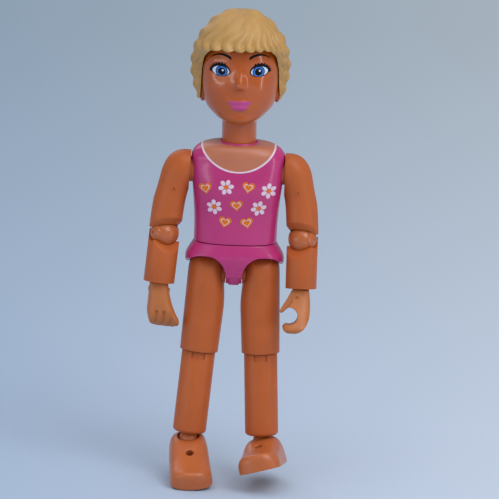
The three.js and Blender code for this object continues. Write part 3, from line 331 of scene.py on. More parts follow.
def shares(low, high, size, pairs):
    """The same curve from shares of a height and of one full size."""
    return through([(mix(low, high, place), size * share) for place, share in pairs])


def oval(turn, half, front, back, square):
    """Point on an oval with its own depth in front and behind."""
    c, s = math.cos(turn), math.sin(turn)
    return half * power(c, 2 / square), (front if s < 0 else back) * power(s, 2 / square)


def arc(radius, count, start, end):
    """Points on a circle about the origin, between two turns."""
    turns = [math.radians(turn) for turn in steps(count, start, end)]
    return [(radius * math.cos(turn), radius * math.sin(turn)) for turn in turns]


# Modelling steps

def tidy(bm):
    bmesh.ops.remove_doubles(bm, verts=bm.verts, dist=WELD)
    bmesh.ops.recalc_face_normals(bm, faces=bm.faces)
    return bm


def closed(bm):
    """Fills the open ends of a shape."""
    rim = [edge for edge in bm.edges if edge.is_boundary]
    if rim:
        bmesh.ops.holes_fill(bm, edges=rim, sides=0)
    return tidy(bm)


def grid(columns, rows, place, weld):
    """A grid whose points are placed by their shares along and across it."""
    bm = bmesh.new()
    bmesh.ops.create_grid(bm, x_segments=columns, y_segments=rows, size=1)
    for vert in bm.verts:
        vert.co = place((vert.co.x + 1) / 2, (vert.co.y + 1) / 2)
    bmesh.ops.remove_doubles(bm, verts=bm.verts, dist=weld)
    return bm


def loft(columns, rings):
    """A grid wrapped round through rings, each a function of the turn, with its ends filled."""
    turns = steps(columns, 0, 2 * math.pi)
    rows = len(rings) - 1

    def place(along, across):
        return rings[round(across * rows)](turns[round(along * columns)])

    return closed(grid(columns, rows, place, WELD))


def revolve(pairs, sides=LIMB_SIDES):
    """A (radius, height) line spun about Z."""
    bm = bmesh.new()
    verts = [bm.verts.new((radius, 0, height)) for radius, height in pairs]
    edges = [bm.edges.new(pair) for pair in zip(verts, verts[1:])]
    bmesh.ops.spin(
        bm, geom=verts + edges, cent=(0, 0, 0), axis=(0, 0, 1),
        angle=2 * math.pi, steps=sides, use_merge=True,
    )
    return tidy(bm)


def bar(bottom_radius, top_radius, bottom, top, sides=PIN_SIDES):
    bm = bmesh.new()
    bmesh.ops.create_cone(
        bm, cap_ends=True, segments=sides, radius1=bottom_radius, radius2=top_radius,
        depth=top - bottom, matrix=Matrix.Translation((0, 0, (bottom + top) / 2)),
    )
    return bm


def bar_x(radius, start, end, sides=PIN_SIDES):
    return turned(bar(radius, radius, start, end, sides), 90, "Y")


def bar_y(radius, start, end, sides=PIN_SIDES):
    return turned(bar(radius, radius, start, end, sides), -90, "X")


def block(x0, x1, y0, y1, z0, z1):
    bm = bmesh.new()
    size = Matrix.Diagonal((x1 - x0, y1 - y0, z1 - z0, 1))
    middle = Matrix.Translation(((x0 + x1) / 2, (y0 + y1) / 2, (z0 + z1) / 2))
    bmesh.ops.create_cube(bm, size=1, matrix=middle @ size)
    return bm


def ball(radius, sides=PIN_SIDES):
    bm = bmesh.new()
    bmesh.ops.create_uvsphere(bm, u_segments=sides, v_segments=sides // 2, radius=radius)
    return bm


def slab(outline, way, start, end):
    """A flat outline pushed along X, where it is drawn in (y, z), or along Y, drawn in (x, z)."""
    def at(depth, a, b):
        return Vector((depth, a, b) if way == "X" else (a, depth, b))

    bm = bmesh.new()
    face = bm.faces.new([bm.verts.new(at(start, a, b)) for a, b in outline])
    made = bmesh.ops.extrude_face_region(bm, geom=[face])["geom"]
    far_side = [vert for vert in made if isinstance(vert, bmesh.types.BMVert)]
    bmesh.ops.translate(bm, vec=at(end - start, 0, 0), verts=far_side)
    return tidy(bm)


def turned(bm, degrees, way):
    bm.transform(Matrix.Rotation(math.radians(degrees), 4, way))
    return bm


def moved(bm, x, y, z):
    bm.transform(Matrix.Translation((x, y, z)))
    return bm


def loose(name, bm):
    """A bmesh as an object of the scene."""
    mesh = bpy.data.meshes.new(name)
    bm.to_mesh(mesh)
    bm.free()
    made = bpy.data.objects.new(name, mesh)
    bpy.context.scene.collection.objects.link(made)
    return made


def settled(made, *others):
    """The bmesh of an object with its modifiers applied. The objects are taken away."""
    view = bpy.context.evaluated_depsgraph_get()
    bm = bmesh.new()
    bm.from_mesh(made.evaluated_get(view).to_mesh())
    for gone in (made, *others):
        mesh = gone.data
        bpy.data.objects.remove(gone)
        bpy.data.meshes.remove(mesh)
    return bm


def combined(bm, tool, operation):
    whole, other = loose("whole", bm), loose("tool", tool)
    change = whole.modifiers.new("combine", "BOOLEAN")
    change.operation = operation
    change.solver = "EXACT"
    change.object = other
    result = settled(whole, other)
    if result.calc_volume() < LEAST_VOLUME:
        raise RuntimeError(f"{operation.lower()} left nothing")
    bmesh.ops.remove_doubles(result, verts=result.verts, dist=CUT_WELD)
    return result


def cut(bm, *tools):
    for tool in tools:
        bm = combined(bm, tool, "DIFFERENCE")
    return bm


def join(bm, *others):
    for other in others:
        bm = combined(bm, other, "UNION")
    return bm


def common(bm, tool):
    return combined(bm, tool, "INTERSECT")


def melt(bm, voxel, passes):
    """Rounds all edges evenly, as in a moulded piece."""
    made = loose("melt", bm)
    change = made.modifiers.new("melt", "REMESH")
    change.mode = "VOXEL"
    change.voxel_size = voxel
    result = settled(made)
    for _ in range(passes):
        bmesh.ops.smooth_vert(
            result, verts=result.verts, factor=0.5, use_axis_x=True, use_axis_y=True, use_axis_z=True,
        )
    return result


def largest(bm):
    """Leaves only the biggest connected part of a shape."""
    left = set(bm.faces)
    parts = []
    while left:
        edge = [left.pop()]
        part = []
        while edge:
            face = edge.pop()
            part.append(face)
            near = {other for line in face.edges for other in line.link_faces} & left
            left -= near
            edge += near
        parts.append(part)
    parts.sort(key=len)
    small = [face for part in parts[:-1] for face in part]
    bmesh.ops.delete(bm, geom=small, context="FACES")
    return bm


def soften(bm, width, angle=CREASE):
    """Bevels the sharp edges."""
    limit = math.radians(angle)
    sharp = [edge for edge in bm.edges if len(edge.link_faces) == 2 and edge.calc_face_angle(0) > limit]
    bmesh.ops.bevel(
        bm, geom=sharp, offset=width, offset_type="OFFSET", segments=2, profile=0.5,
        affect="EDGES", clamp_overlap=True, material=-1,
    )
    return bm


def sided(bm, sign):
    """The same shape for the doll's left, or mirrored for its right."""
    if sign < 0:
        bm.transform(Matrix.Scale(-1, 4, (1, 0, 0)))
        bmesh.ops.reverse_faces(bm, faces=bm.faces)
    return bm


def piece(name, bm, place, body, nodes, slot, looks, crease=CREASE):
    """Seats a shape in the frame and makes it ride on its body."""
    bm.transform(place)
    made = loose(name, bm)
    made.data.shade_smooth()
    made.data.set_sharp_from_angle(angle=math.radians(crease))
    for look in looks:
        made.data.materials.append(look)
    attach(made, body)
    if nodes:
        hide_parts(*nodes)


def limb(side, name, bm, place, body, look, node=None, slot="skin", crease=CREASE):
    """Seats a piece of one side. The node it stands for has its body's name unless another is given."""
    node = f"{side}_{node or body}"
    piece(f"{side}_{name}", bm, place, f"{side}_{body}", [node], slot, [plastic(look)], crease)


# Finishes

def srgb(red, green, blue):
    """Linear colour from the usual 0 to 255 values."""
    return tuple(((v / 255 + 0.055) / 1.055) ** 2.4 if v > 10 else v / 255 / 12.92 for v in (red, green, blue))


def tint(colour, factor):
    return [min(v * factor, 1) for v in colour]


def set_inputs(node, **values):
    """Sets a node's inputs. An underscore stands for a space in an input's name."""
    for name, value in values.items():
        node.inputs[name.replace("_", " ")].default_value = value
    return node


def new_look(name):
    """A new material with its node tree and shader."""
    material = bpy.data.materials.new(name)
    material.use_nodes = True
    return material, material.node_tree, material.node_tree.nodes["Principled BSDF"]


def noise(tree, scale, detail=2, distortion=0):
    """Value of a noise that stays with the piece."""
    place = tree.nodes.new("ShaderNodeTexCoord")
    made = set_inputs(tree.nodes.new("ShaderNodeTexNoise"), Scale=scale, Detail=detail, Distortion=distortion)
    tree.links.new(place.outputs["Object"], made.inputs["Vector"])
    return made.outputs["Fac"]


def spread(tree, value, **ends):
    """A value taken from one span to another."""
    made = set_inputs(tree.nodes.new("ShaderNodeMapRange"), **ends)
    tree.links.new(value, made.inputs["Value"])
    return made.outputs["Result"]


def ramp(tree, value, first, last, start=0, end=1):
    """Colour between two tones, chosen by a value."""
    made = tree.nodes.new("ShaderNodeValToRGB")
    low, high = made.color_ramp.elements
    low.position, high.position = start, end
    low.color, high.color = (*first, 1), (*last, 1)
    tree.links.new(value, made.inputs["Fac"])
    return made.outputs["Color"]


def moulded(name, colour, gloss, mottle, coat=0.0, flesh=0.0, **sockets):
    """Moulded plastic: faint flow marks in the colour, uneven gloss and a fine skin."""
    known = bpy.data.materials.get(name)
    if known:
        return known
    material, tree, shader = new_look(name)
    set_inputs(
        shader, IOR=1.5, Coat_Weight=coat, Coat_Roughness=0.06, Subsurface_Weight=flesh,
        Subsurface_Radius=(1.0, 0.4, 0.2), Subsurface_Scale=0.0006,
    )
    set_inputs(shader, **sockets)
    flow = noise(tree, FLOW_SCALE, 4, 0.6)
    shade = ramp(tree, flow, tint(colour, 1 - mottle), tint(colour, 1 + mottle), 0.3, 0.7)
    tree.links.new(shade, shader.inputs["Base Color"])
    wear = spread(tree, noise(tree, WEAR_SCALE, 3), To_Min=gloss * 0.8, To_Max=gloss * 1.25)
    tree.links.new(wear, shader.inputs["Roughness"])
    relief = set_inputs(tree.nodes.new("ShaderNodeBump"), Strength=0.12, Distance=0.00004)
    tree.links.new(noise(tree, PEEL_SCALE), relief.inputs["Height"])
    tree.links.new(relief.outputs["Normal"], shader.inputs["Normal"])
    return material


def plastic(name):
    colour, gloss, mottle, coat, flesh, sockets = PLASTICS[name]
    tone = getattr(bpy.context.scene.doll_colours, colour)
    return moulded(name, tone, gloss, mottle, coat, flesh, **sockets)


def ink(name, colour):
    return moulded(f"{name}_ink", colour, 0.4, 0.03, Specular_IOR_Level=0.12)


def paper(colour):
    """Pale matt paper with a faint mottle, and painted shade that makes it darker to the left and far behind."""
    material, tree, shader = new_look("backdrop_paper")
    set_inputs(shader, Roughness=0.9)
    place = tree.nodes.new("ShaderNodeTexCoord")
    along = tree.nodes.new("ShaderNodeSeparateXYZ")
    tree.links.new(place.outputs["Object"], along.inputs["Vector"])
    # Painted shade: the paper's colour darkens toward the left and toward the far floor
    left = [v * share for v, share in zip(colour, PAPER_LEFT_SHADE)]
    across = spread(tree, along.outputs["X"], From_Min=-PAPER_TURN, From_Max=PAPER_TURN)
    away = spread(tree, along.outputs["Y"], From_Min=PAPER_SHADE_FADE[0], From_Max=PAPER_SHADE_FADE[1])
    shaded_sheet = ramp(tree, across, left, colour)
    distance = ramp(tree, away, (1, 1, 1), PAPER_FAR_SHADE)
    fibre = ramp(tree, noise(tree, FIBRE_SCALE), PAPER_FIBRE, (1, 1, 1))
    for other in (distance, fibre):
        blend = tree.nodes.new("ShaderNodeMix")
        blend.data_type = "RGBA"
        blend.blend_type = "MULTIPLY"
        set_inputs(blend, Factor=1)
        tree.links.new(shaded_sheet, blend.inputs["A"])
        tree.links.new(other, blend.inputs["B"])
        shaded_sheet = blend.outputs["Result"]
    tree.links.new(shaded_sheet, shader.inputs["Base Color"])
    return material


# Shapes of the pieces

torso_half, torso_front, torso_back = (
    through(list(zip((0, CHEST_UP * 0.45, CHEST_UP, SHOULDER_UP), sizes)))
    for sizes in (
        (WAIST_HALF, WAIST_HALF * 1.012, CHEST_HALF, SHOULDER_HALF),
        (WAIST_FRONT, WAIST_FRONT, CHEST_FRONT, SHOULDER_FRONT),
        (WAIST_BACK, WAIST_BACK - 0.2, CHEST_BACK, SHOULDER_BACK),
    )
)


def torso_point(turn, level):
    """Point on the torso, from level 0 at the waist to level 1 at the collar. Above 1 it is the neck's rim."""
    if level > 1:
        return neck_ring(turn, NECK_RADIUS + PLAY + 0.47, TORSO_HEIGHT)
    if level <= WALL_SHARE:
        z = SHOULDER_UP * level / WALL_SHARE
        return Vector((*oval(turn, torso_half(z), torso_front(z), torso_back(z), BODY_SQUARE), z))
    lean = math.radians(90 * (level - WALL_SHARE) / (1 - WALL_SHARE))
    inward = 1 - abs(math.cos(lean)) ** (2 / SHOULDER_SQUARE)
    rise = SHOULDER_UP + SHOULDER_ROUND * math.sin(lean) ** (2 / SHOULDER_SQUARE)
    x, y = oval(
        turn, mix(SHOULDER_HALF, COLLAR_HALF, inward), mix(SHOULDER_FRONT, COLLAR_DEEP, inward),
        mix(SHOULDER_BACK, COLLAR_DEEP, inward), BODY_SQUARE,
    )
    return Vector((x, y, rise))


def neck_ring(turn, radius, height):
    return Vector((radius * math.cos(turn), radius * math.sin(turn), height))


def torso_shape():
    rings = [partial(torso_point, level=level) for level in steps(64, 0, 1)]
    well = NECK_RADIUS + PLAY
    rings += [partial(neck_ring, radius=well + out, height=TORSO_HEIGHT + up) for out, up in NECK_RIM]
    return loft(BODY_COLUMNS, rings)


def halved(bm, side):
    """The front (-1) or the back (1) half of a closed shape, with its cut face filled."""
    bmesh.ops.bisect_plane(
        bm, geom=bm.verts[:] + bm.edges[:] + bm.faces[:], dist=1e-5,
        plane_co=(0, side * PLAY / 2, 0), plane_no=(0, -side, 0), clear_outer=True,
    )
    return closed(bm)


def face_sizes():
    half = shares(CHIN_UP, SKULL_UP, FACE_HALF, [
        (0, 0.22), (0.045, 0.53), (0.095, 0.7), (0.16, 0.86), (0.26, 0.965), (0.41, 1),
        (0.61, 0.98), (0.72, 0.89), (0.88, 0.644), (0.965, 0.356), (1, 0.164),
    ])
    front = shares(CHIN_UP, SKULL_UP, FACE_FRONT, [
        (0, 0.557), (0.04, 0.821), (0.12, 0.893), (0.274, 0.971), (0.45, 1),
        (0.677, 0.957), (0.85, 0.714), (0.96, 0.371), (1, 0.171),
    ])
    back = shares(CHIN_UP, SKULL_UP, FACE_BACK, [
        (0, 0.135), (0.1, 0.378), (0.2, 0.595), (0.4, 0.905), (0.6, 1),
        (0.72, 0.905), (0.88, 0.635), (0.965, 0.338), (1, 0.162),
    ])
    return half, front, back


def face_relief(x, z):
    """How far the features stand out of the plain face."""
    drop = NOSE_UP - z
    width = NOSE_HALF + max(0, drop) * 0.2
    out = NOSE_OUT * bump(x, width) * bump(drop, 0.75 if drop > 0 else 2.3)
    for size, aside, wide, up, high in FACE_FEATURES:
        out += size * bump(abs(x) - aside, wide) * bump(z - up, high)
    return out


def skull_ring(turn, share, grow, sizes):
    half, front, back = sizes
    z = mix(CHIN_UP, SKULL_UP, share)
    x, y = oval(turn, half(z) + grow, front(z) + grow, back(z) + grow, FACE_SQUARE)
    if not grow and y < 0:
        y -= face_relief(x, z) * smoothstep(-y, 0.5, 3)
    return Vector((x, y, z + grow * mix(-1, 1, share)))


def skull_shape(grow=0):
    sizes = face_sizes()
    low = 72 if not grow else 24
    places = steps(low, 0, 0.75)
    places += [0.75 + 0.25 * math.sin(math.radians(turn)) for turn in steps(low // 3, 0, 90)[1:]]
    rings = [partial(skull_ring, share=share, grow=grow, sizes=sizes) for share in places]
    return loft(FACE_COLUMNS if not grow else 72, rings)


def ear_shape(side, grow=0):
    lobe = ball(1, 32)
    lobe.transform(Matrix.Diagonal((EAR_WIDE + grow, EAR_DEEP + grow, EAR_HIGH + grow, 1)))
    return moved(lobe, side * (FACE_HALF - EAR_ROOT), EAR_BACK, EAR_UP)


def head_shape():
    neck = revolve([
        (0, PLAY - NECK_SEAT), (NECK_RADIUS, PLAY - NECK_SEAT), (NECK_RADIUS, CHIN_UP),
        (NECK_RADIUS + 0.5, CHIN_UP + 1.4), (NECK_RADIUS, CHIN_UP + 3), (0, CHIN_UP + 3),
    ])
    return join(skull_shape(), neck, ear_shape(-1), ear_shape(1))


def lock(turns):
    """One rounded lock with a sharp groove on each side: 0 in the groove, 1 on the crest."""
    return abs(math.sin(math.pi * turns))


def hair_sizes():
    half = shares(HAIR_NAPE, HAIR_TOP, HAIR_HALF, [
        (0, 0.69), (0.1, 0.83), (0.2, 0.91), (0.43, 0.99), (0.67, 0.9),
        (0.845, 0.67), (0.948, 0.42), (0.985, 0.24), (1, 0.05),
    ])
    front = shares(HAIR_NAPE, HAIR_TOP, HAIR_FRONT, [
        (0, 0.28), (0.38, 0.3), (0.54, 0.62), (0.645, 0.985), (0.74, 0.93),
        (0.876, 0.7), (0.9585, 0.43), (0.987, 0.25), (1, 0.05),
    ])
    back = shares(HAIR_NAPE, HAIR_TOP, HAIR_BACK, [
        (0, 0.652), (0.155, 0.848), (0.415, 1), (0.69, 0.924),
        (0.865, 0.7), (0.953, 0.43), (0.986, 0.25), (1, 0.05),
    ])
    return half, front, back


def lock_places(x, y):
    """Place of a point among the locks, which spread from the parting, counted in locks."""
    return math.degrees(math.atan2(y - PARTING.y, x - PARTING.x)) / LOCK_ANGLE


def hair_ring(turn, level, sizes):
    """Point of the hair: locks run from the parting to the fringe, and waves roll round the sides and back."""
    looks = bpy.context.scene.doll_sizes
    half, front, back = sizes
    x, y = oval(turn, half(level), front(level), back(level), HAIR_SQUARE)
    above = level - FRINGE_UP
    facing = smoothstep(-y, -1.5, 5) * smoothstep(above, -3, 0)
    # In front the locks waver, and above the fringe they join in pairs
    places = lock_places(x, y)
    places += 0.28 * math.sin(1.25 * above) * smoothstep(above, -1, 1)
    coarse = smoothstep(above, 0.8, 4.6)
    locks = looks.lock_depth * mix(lock(places) - 0.5, 0.5 * (lock(places / 2 + 0.25) - 0.6), coarse)
    locks *= smoothstep(math.hypot(x - PARTING.x, y - PARTING.y), 1.0, 5.0)
    # Elsewhere strands swing from side to side, with rolls across them at the sides
    swing = 2 * math.pi * ((level - HAIR_NAPE) / CURL_HIGH + 0.3 * math.sin(3 * turn + 0.7))
    aside = math.cos(turn) ** 4
    strand = lock(math.degrees(turn) / STRAND_ANGLE + mix(0.24, 0.3, aside) * math.sin(swing))
    wave = looks.curl_depth * (0.6 * (strand - 0.55) - 0.3 * aside * math.cos(swing))
    out = mix(wave, locks, facing) * smoothstep(HAIR_TOP - level, 0, 0.6)
    # On top the relief rises more than it stands out
    far = max(math.hypot(x, y), 1e-6)
    tilt = math.radians(DOME_TILT) * smoothstep(level, FRINGE_UP - 1, HAIR_TOP)
    grow = 1 + out * math.cos(tilt) / far
    return Vector((x * grow, y * grow, level + out * math.sin(tilt)))


def hair_shape():
    looks = bpy.context.scene.doll_sizes
    sizes = hair_sizes()
    dome = HAIR_TOP - HAIR_DOME
    levels = steps(96, HAIR_NAPE, dome)
    levels += [mix(dome, HAIR_TOP, 1 - (1 - share) ** 1.7) for share in steps(36, 0, 1)[1:]]
    rings = [partial(hair_ring, level=level, sizes=sizes) for level in levels]
    cap = loft(HAIR_COLUMNS, rings)

    inside = FACE_HALF - 0.15
    corner = [
        (inside - TEMPLE_WIDE * (1 - c), FRINGE_UP - TEMPLE_HIGH * (1 - s)) for c, s in arc(1, 16, 0, 90)
    ]
    edge = corner[-1][0]
    scallops = []
    for x in steps(144, edge, -edge):
        y = -HAIR_FRONT * math.sqrt(1 - (x / HAIR_HALF) ** 2)
        scallops.append((x, FRINGE_UP + looks.fringe_scallop * (1 - lock(lock_places(x, y)))))
    side = [(FACE_HALF + 0.25, -2), (FACE_HALF + 0.25, EAR_UP), *corner[:-1]]
    opening = side + scallops + [(-x, z) for x, z in reversed(side)]
    below = slab([
        (-FAR, HAIR_END), (2.5, HAIR_END), (9, HAIR_NAPE), (FAR, HAIR_NAPE), (FAR, -2), (-FAR, -2),
    ], "X", -FAR, FAR)
    return cut(
        cap, skull_shape(SEAM), ear_shape(-1, SEAM), ear_shape(1, SEAM),
        bar(NECK_RADIUS + 2, NECK_RADIUS + 2, -2, CHIN_UP + 4), slab(opening, "Y", -FAR, -0.6), below,
    )


def gated(bm, x, z, ways=(-1,)):
    """Adds the raised ring that the mould's gate leaves on the front (-1) or back (1) of a shape."""
    tree = BVHTree.FromBMesh(bm)
    for way in ways:
        surface = tree.ray_cast(Vector((x, way * FAR, z)), Vector((0, -way, 0)))[0].y
        ring = bar_y(GATE_RADIUS, *sorted((surface - way * GATE_ROOT, surface + way * GATE_HIGH)), 32)
        pit = bar_y(GATE_RADIUS / 2, *sorted((surface - way * GATE_HIGH, surface + way)), 24)
        bm = cut(join(bm, moved(ring, x, 0, z)), moved(pit, x, 0, z))
    return bm


def upper_arm_ring(turn, drop, middle, half, deep):
    return Vector((middle + half * math.cos(turn), deep * math.sin(turn), -drop))


def elbow_place(side):
    """Middle of the elbow in the arm's own millimetres, for the unmirrored arm."""
    inside = upper_arm_seat(side).inverted() @ spot(f"{side}_elbow_bend")
    return abs(inside.x), -inside.z


def upper_arm_shape(side):
    elbow_out, elbow_drop = elbow_place(side)
    top, mid, low = elbow_drop * 0.27, elbow_drop * 0.52, elbow_drop + 1.2
    middle = through([
        (-ARM_TOP, 0.4), (-1.5, 1.0), (DELTOID_DROP, 1.55), (top, 2.55), (mid, 3.2), (low, elbow_out + 0.1),
    ])
    half = through([(DELTOID_DROP, DELTOID_HALF), (top, ARM_HALF), (mid, ARM_HALF), (low, ARM_HALF)])
    deep = through([(DELTOID_DROP, DELTOID_DEEP), (top, ARM_HALF + 0.2), (mid, ARM_HALF), (low, ARM_HALF)])
    sections = [(drop, half(drop), deep(drop)) for drop in steps(40, low, DELTOID_DROP)]
    for lean in steps(24, 0, 90)[1:]:
        round_in = max(math.cos(math.radians(lean)), 0) ** (2 / DELTOID_SQUARE)
        rise = (DELTOID_DROP + ARM_TOP) * math.sin(math.radians(lean)) ** (2 / DELTOID_SQUARE)
        sections.append((DELTOID_DROP - rise, DELTOID_HALF * round_in, DELTOID_DEEP * round_in))
    arm = loft(LIMB_SIDES, [
        partial(upper_arm_ring, drop=drop, middle=middle(drop), half=wide, deep=thick)
        for drop, wide, thick in sections
    ])
    arm = gated(arm, middle(ARM_GATE_DROP) - 0.2, -ARM_GATE_DROP)
    bevel_top = SOCKET_UP + BEVEL_HIGH
    bevel_foot = math.hypot(ARM_HALF - SOCKET_SHIFT, SOCKET_BACK) + BEVEL_LEDGE
    keep = bar(bevel_foot, bevel_foot + BEVEL_WIDE, SOCKET_UP, bevel_top, LIMB_SIDES)
    keep = moved(keep, SOCKET_SHIFT, SOCKET_BACK, 0)
    end = cut(bar(7, 7, -6, bevel_top - 0.01, LIMB_SIDES), keep)
    end = join(end, ball(ELBOW_PIN_REACH + PLAY, BALL_SIDES))
    end = moved(turned(end, -ARM_SPLAY, "Y"), elbow_out, 0, -elbow_drop)
    arm = cut(arm, block(-FAR, 0.08 - ARM_GAP[side], -FAR, FAR, -FAR, FAR), end)
    return join(soften(arm, ARM_EDGE), bar_x(SHOULDER_PEG, -1.2, 1, PEG_SIDES))


def elbow_ball_shape():
    pins = common(bar_y(ELBOW_PIN, -FAR / 4, FAR / 4), ball(ELBOW_PIN_REACH, BALL_SIDES))
    whole = join(ball(ELBOW_BALL, BALL_SIDES), pins)
    for way in (-1, 1):
        near, far = sorted((way * (ELBOW_PIN_REACH - 0.4), way * FAR / 4))
        whole = cut(whole, bar_y(ELBOW_DIMPLE, near, far, 20))
    return soften(whole, BALL_EDGE)


def forearm_shape():
    sleeve = revolve([
        (0, FOREARM_TOP), (FOREARM_RADIUS, FOREARM_TOP), (FOREARM_RADIUS, -FOREARM_LONG), (0, -FOREARM_LONG),
    ])
    fall = math.tan(math.radians(NOTCH_ANGLE))
    notch = slab([
        (NOTCH_IN, 9), (NOTCH_IN, NOTCH_UP), (-NOTCH_LONG, NOTCH_UP - (NOTCH_LONG + NOTCH_IN) * fall), (-9, 9),
    ], "Y", -FAR, FAR)
    sleeve = cut(
        sleeve, notch, ball(ELBOW_BALL + PLAY, BALL_SIDES), bar_y(ELBOW_PIN + PLAY, -FAR, FAR, PEG_SIDES),
        bar(WRIST_PEG + PLAY, WRIST_PEG + PLAY, -FAR, PEG_WELL - FOREARM_LONG),
    )
    return soften(sleeve, SLEEVE_EDGE)


def hand_drop(share):
    return -SEAM - (HAND_LONG - SEAM) * share


def hand_ring(turn, share, middle, half):
    deep = PALM_BACK + GRIP_OUT + 1.5
    wide = half(share) * HAND_WIDE
    x, y = oval(turn, deep / 2, wide, wide, HAND_SQUARE)
    return Vector((x + PALM_BACK + 0.1 - deep / 2, y + middle(share) * HAND_WIDE, hand_drop(share)))


def palm_shape():
    """Palm and curled fingers: the outline seen along the grip, within the outline seen from the front."""
    back = through([(0, 0.86), (0.24, 1), (0.48, 1.03), (0.7, 0.89), (0.89, 0.42), (0.97, -0.1)])
    outer = [(back(share) * PALM_BACK, hand_drop(share)) for share in steps(24, 0, 0.97)]
    outer += [(-0.39 * PALM_BACK, hand_drop(1)), (-1.28 * PALM_BACK, hand_drop(0.994))]
    tip = [(-GRIP_OUT - 1, hand_drop(0.927)), (-GRIP_OUT - 1.25, hand_drop(0.84))]
    inner = [(x - GRIP_OUT, z - GRIP_DROP) for x, z in arc(GRIP_RADIUS, 40, -112, 100)]
    wrist = [(-0.89 * PALM_BACK, hand_drop(0.29)), (-0.86 * PALM_BACK, hand_drop(0))]
    palm = slab([*outer, *tip, *inner, *wrist], "Y", -FAR / 4, FAR / 4)
    middle = through([(0, 0), (0.4, -0.16), (0.65, -0.32), (0.9, -0.57), (1, -0.56)])
    half = through([(0, 0.54), (0.4, 0.68), (0.65, 0.83), (0.85, 0.9), (0.95, 0.82), (1, 0.5)])
    rings = [partial(hand_ring, share=share, middle=middle, half=half) for share in steps(40, 1, 0)]
    return common(palm, loft(HAND_COLUMNS, rings))


def thumb_shape():
    """Thumb, which narrows toward its tip."""
    tip = -GRIP_OUT - GRIP_RADIUS - 0.23
    thumb = slab([
        (0.56 * PALM_BACK, hand_drop(0.04)), (-0.92 * PALM_BACK, hand_drop(0.02)),
        (tip * 0.66, hand_drop(0.24)), (tip, hand_drop(0.5)), (tip + 0.2, hand_drop(0.55)),
        (tip + 0.65, hand_drop(0.54)), (tip * 0.66, hand_drop(0.45)), (tip * 0.4, hand_drop(0.38)),
        (0, hand_drop(0.41)),
    ], "Y", -0.56 * HAND_WIDE, 0.56 * HAND_WIDE)
    for vert in thumb.verts:
        vert.co.y *= mix(1, 0.5, smoothstep(-vert.co.x, 1, -tip))
    return turned(thumb, -THUMB_LEAN, "X")


def hand_shape():
    hand = palm_shape()
    pitch = (2 * HAND_WIDE - 0.8) / FINGERS
    knuckle = GRIP_OUT + PALM_BACK - 0.18
    below = -GRIP_DROP - 0.2
    for i in range(1, FINGERS):
        y = pitch * (i - FINGERS / 2) - 0.5 * HAND_WIDE
        rim = [(knuckle + 0.02 + x, z) for x, z in arc(GROOVE, 12, 0, 360)]
        groove = moved(turned(revolve(rim, BALL_SIDES), 90, "X"), -GRIP_OUT, y, -GRIP_DROP)
        hand = cut(hand, common(groove, block(-FAR, FAR, -FAR, FAR, -FAR, below)))
    hand = join(hand, thumb_shape(), bar(WRIST_PEG, WRIST_PEG, -0.8, 1.5))
    return gated(melt(hand, FINE_VOXEL, 5), -0.4 * PALM_BACK, hand_drop(0.17), (-1, 1))


def square_arc(size, count, start, end):
    """Squared-off arc as (radius, height) pairs."""
    pairs = []
    for turn in steps(count, start, end):
        c, s = math.cos(math.radians(turn)), math.sin(math.radians(turn))
        radius = 0 if abs(turn) == 90 else size * abs(c) ** (2 / THIGH_SQUARE)
        pairs.append((radius, size * power(s, 2 / THIGH_SQUARE)))
    return pairs


def drawn_in(bm, way, low, high):
    """Draws in the side of a shape toward the other leg: not at the low level, and fully at the high one."""
    for vert in bm.verts:
        if vert.co.x * way > 0:
            vert.co.x *= mix(1, THIGH_INNER, smoothstep(vert.co.z, low, high))
    return bm


def hip_barrel(side):
    """Room in which the head of a thigh swings."""
    barrel = turned(revolve(square_arc(THIGH_DOME + HIP_PLAY, 48, 90, -90), BALL_SIDES), 90, "Y")
    return drawn_in(barrel, -side, -FAR, 1 - FAR)


def pelvis_ring(turn, drop, half, front, back):
    return Vector((*oval(turn, half(drop), front(drop), back(drop), BODY_SQUARE), -drop))


def leg_window(side, room):
    """Outline of a leg's opening, seen from the front."""
    outline = []
    for turn in steps(72, 0, 2 * math.pi)[:-1]:
        outer = side * math.cos(turn) > 0
        square = THIGH_SQUARE if outer else GROIN_SQUARE
        across = room * power(math.cos(turn), 2 / square) * (1 if outer else GROIN_INNER)
        outline.append((side * HIP_OUT + across, room * power(math.sin(turn), 2 / square) - HIP_DROP))
    return outline


def column_shape():
    """Column between the legs: a strip down the middle of a recessed panel."""
    front = [(0.35, -HIP_FLARE_DROP), (0.95, -HIP_DROP + 1), (1.75, -CROTCH_DROP + 0.8), (2.5, -CROTCH_DROP)]
    back = [
        (HIP_BACK - 2.9, -CROTCH_DROP), (HIP_BACK - 1.6, -CROTCH_DROP + 1.1),
        (HIP_BACK - 0.7, -HIP_DROP + 1), (HIP_BACK - 0.5, -HIP_FLARE_DROP),
    ]
    strip = slab([(y - HIP_FRONT, z) for y, z in front] + back, "X", -STRIP_HALF, STRIP_HALF)
    recessed = [(y + PANEL_BACK - HIP_FRONT, z + PANEL_UP) for y, z in front]
    panel = slab(recessed + [(y, z + PANEL_UP) for y, z in back], "X", -PANEL_HALF, PANEL_HALF)
    barrels = (moved(hip_barrel(side), side * HIP_OUT, 0, -HIP_DROP) for side in (-1, 1))
    return cut(join(panel, strip), *barrels)


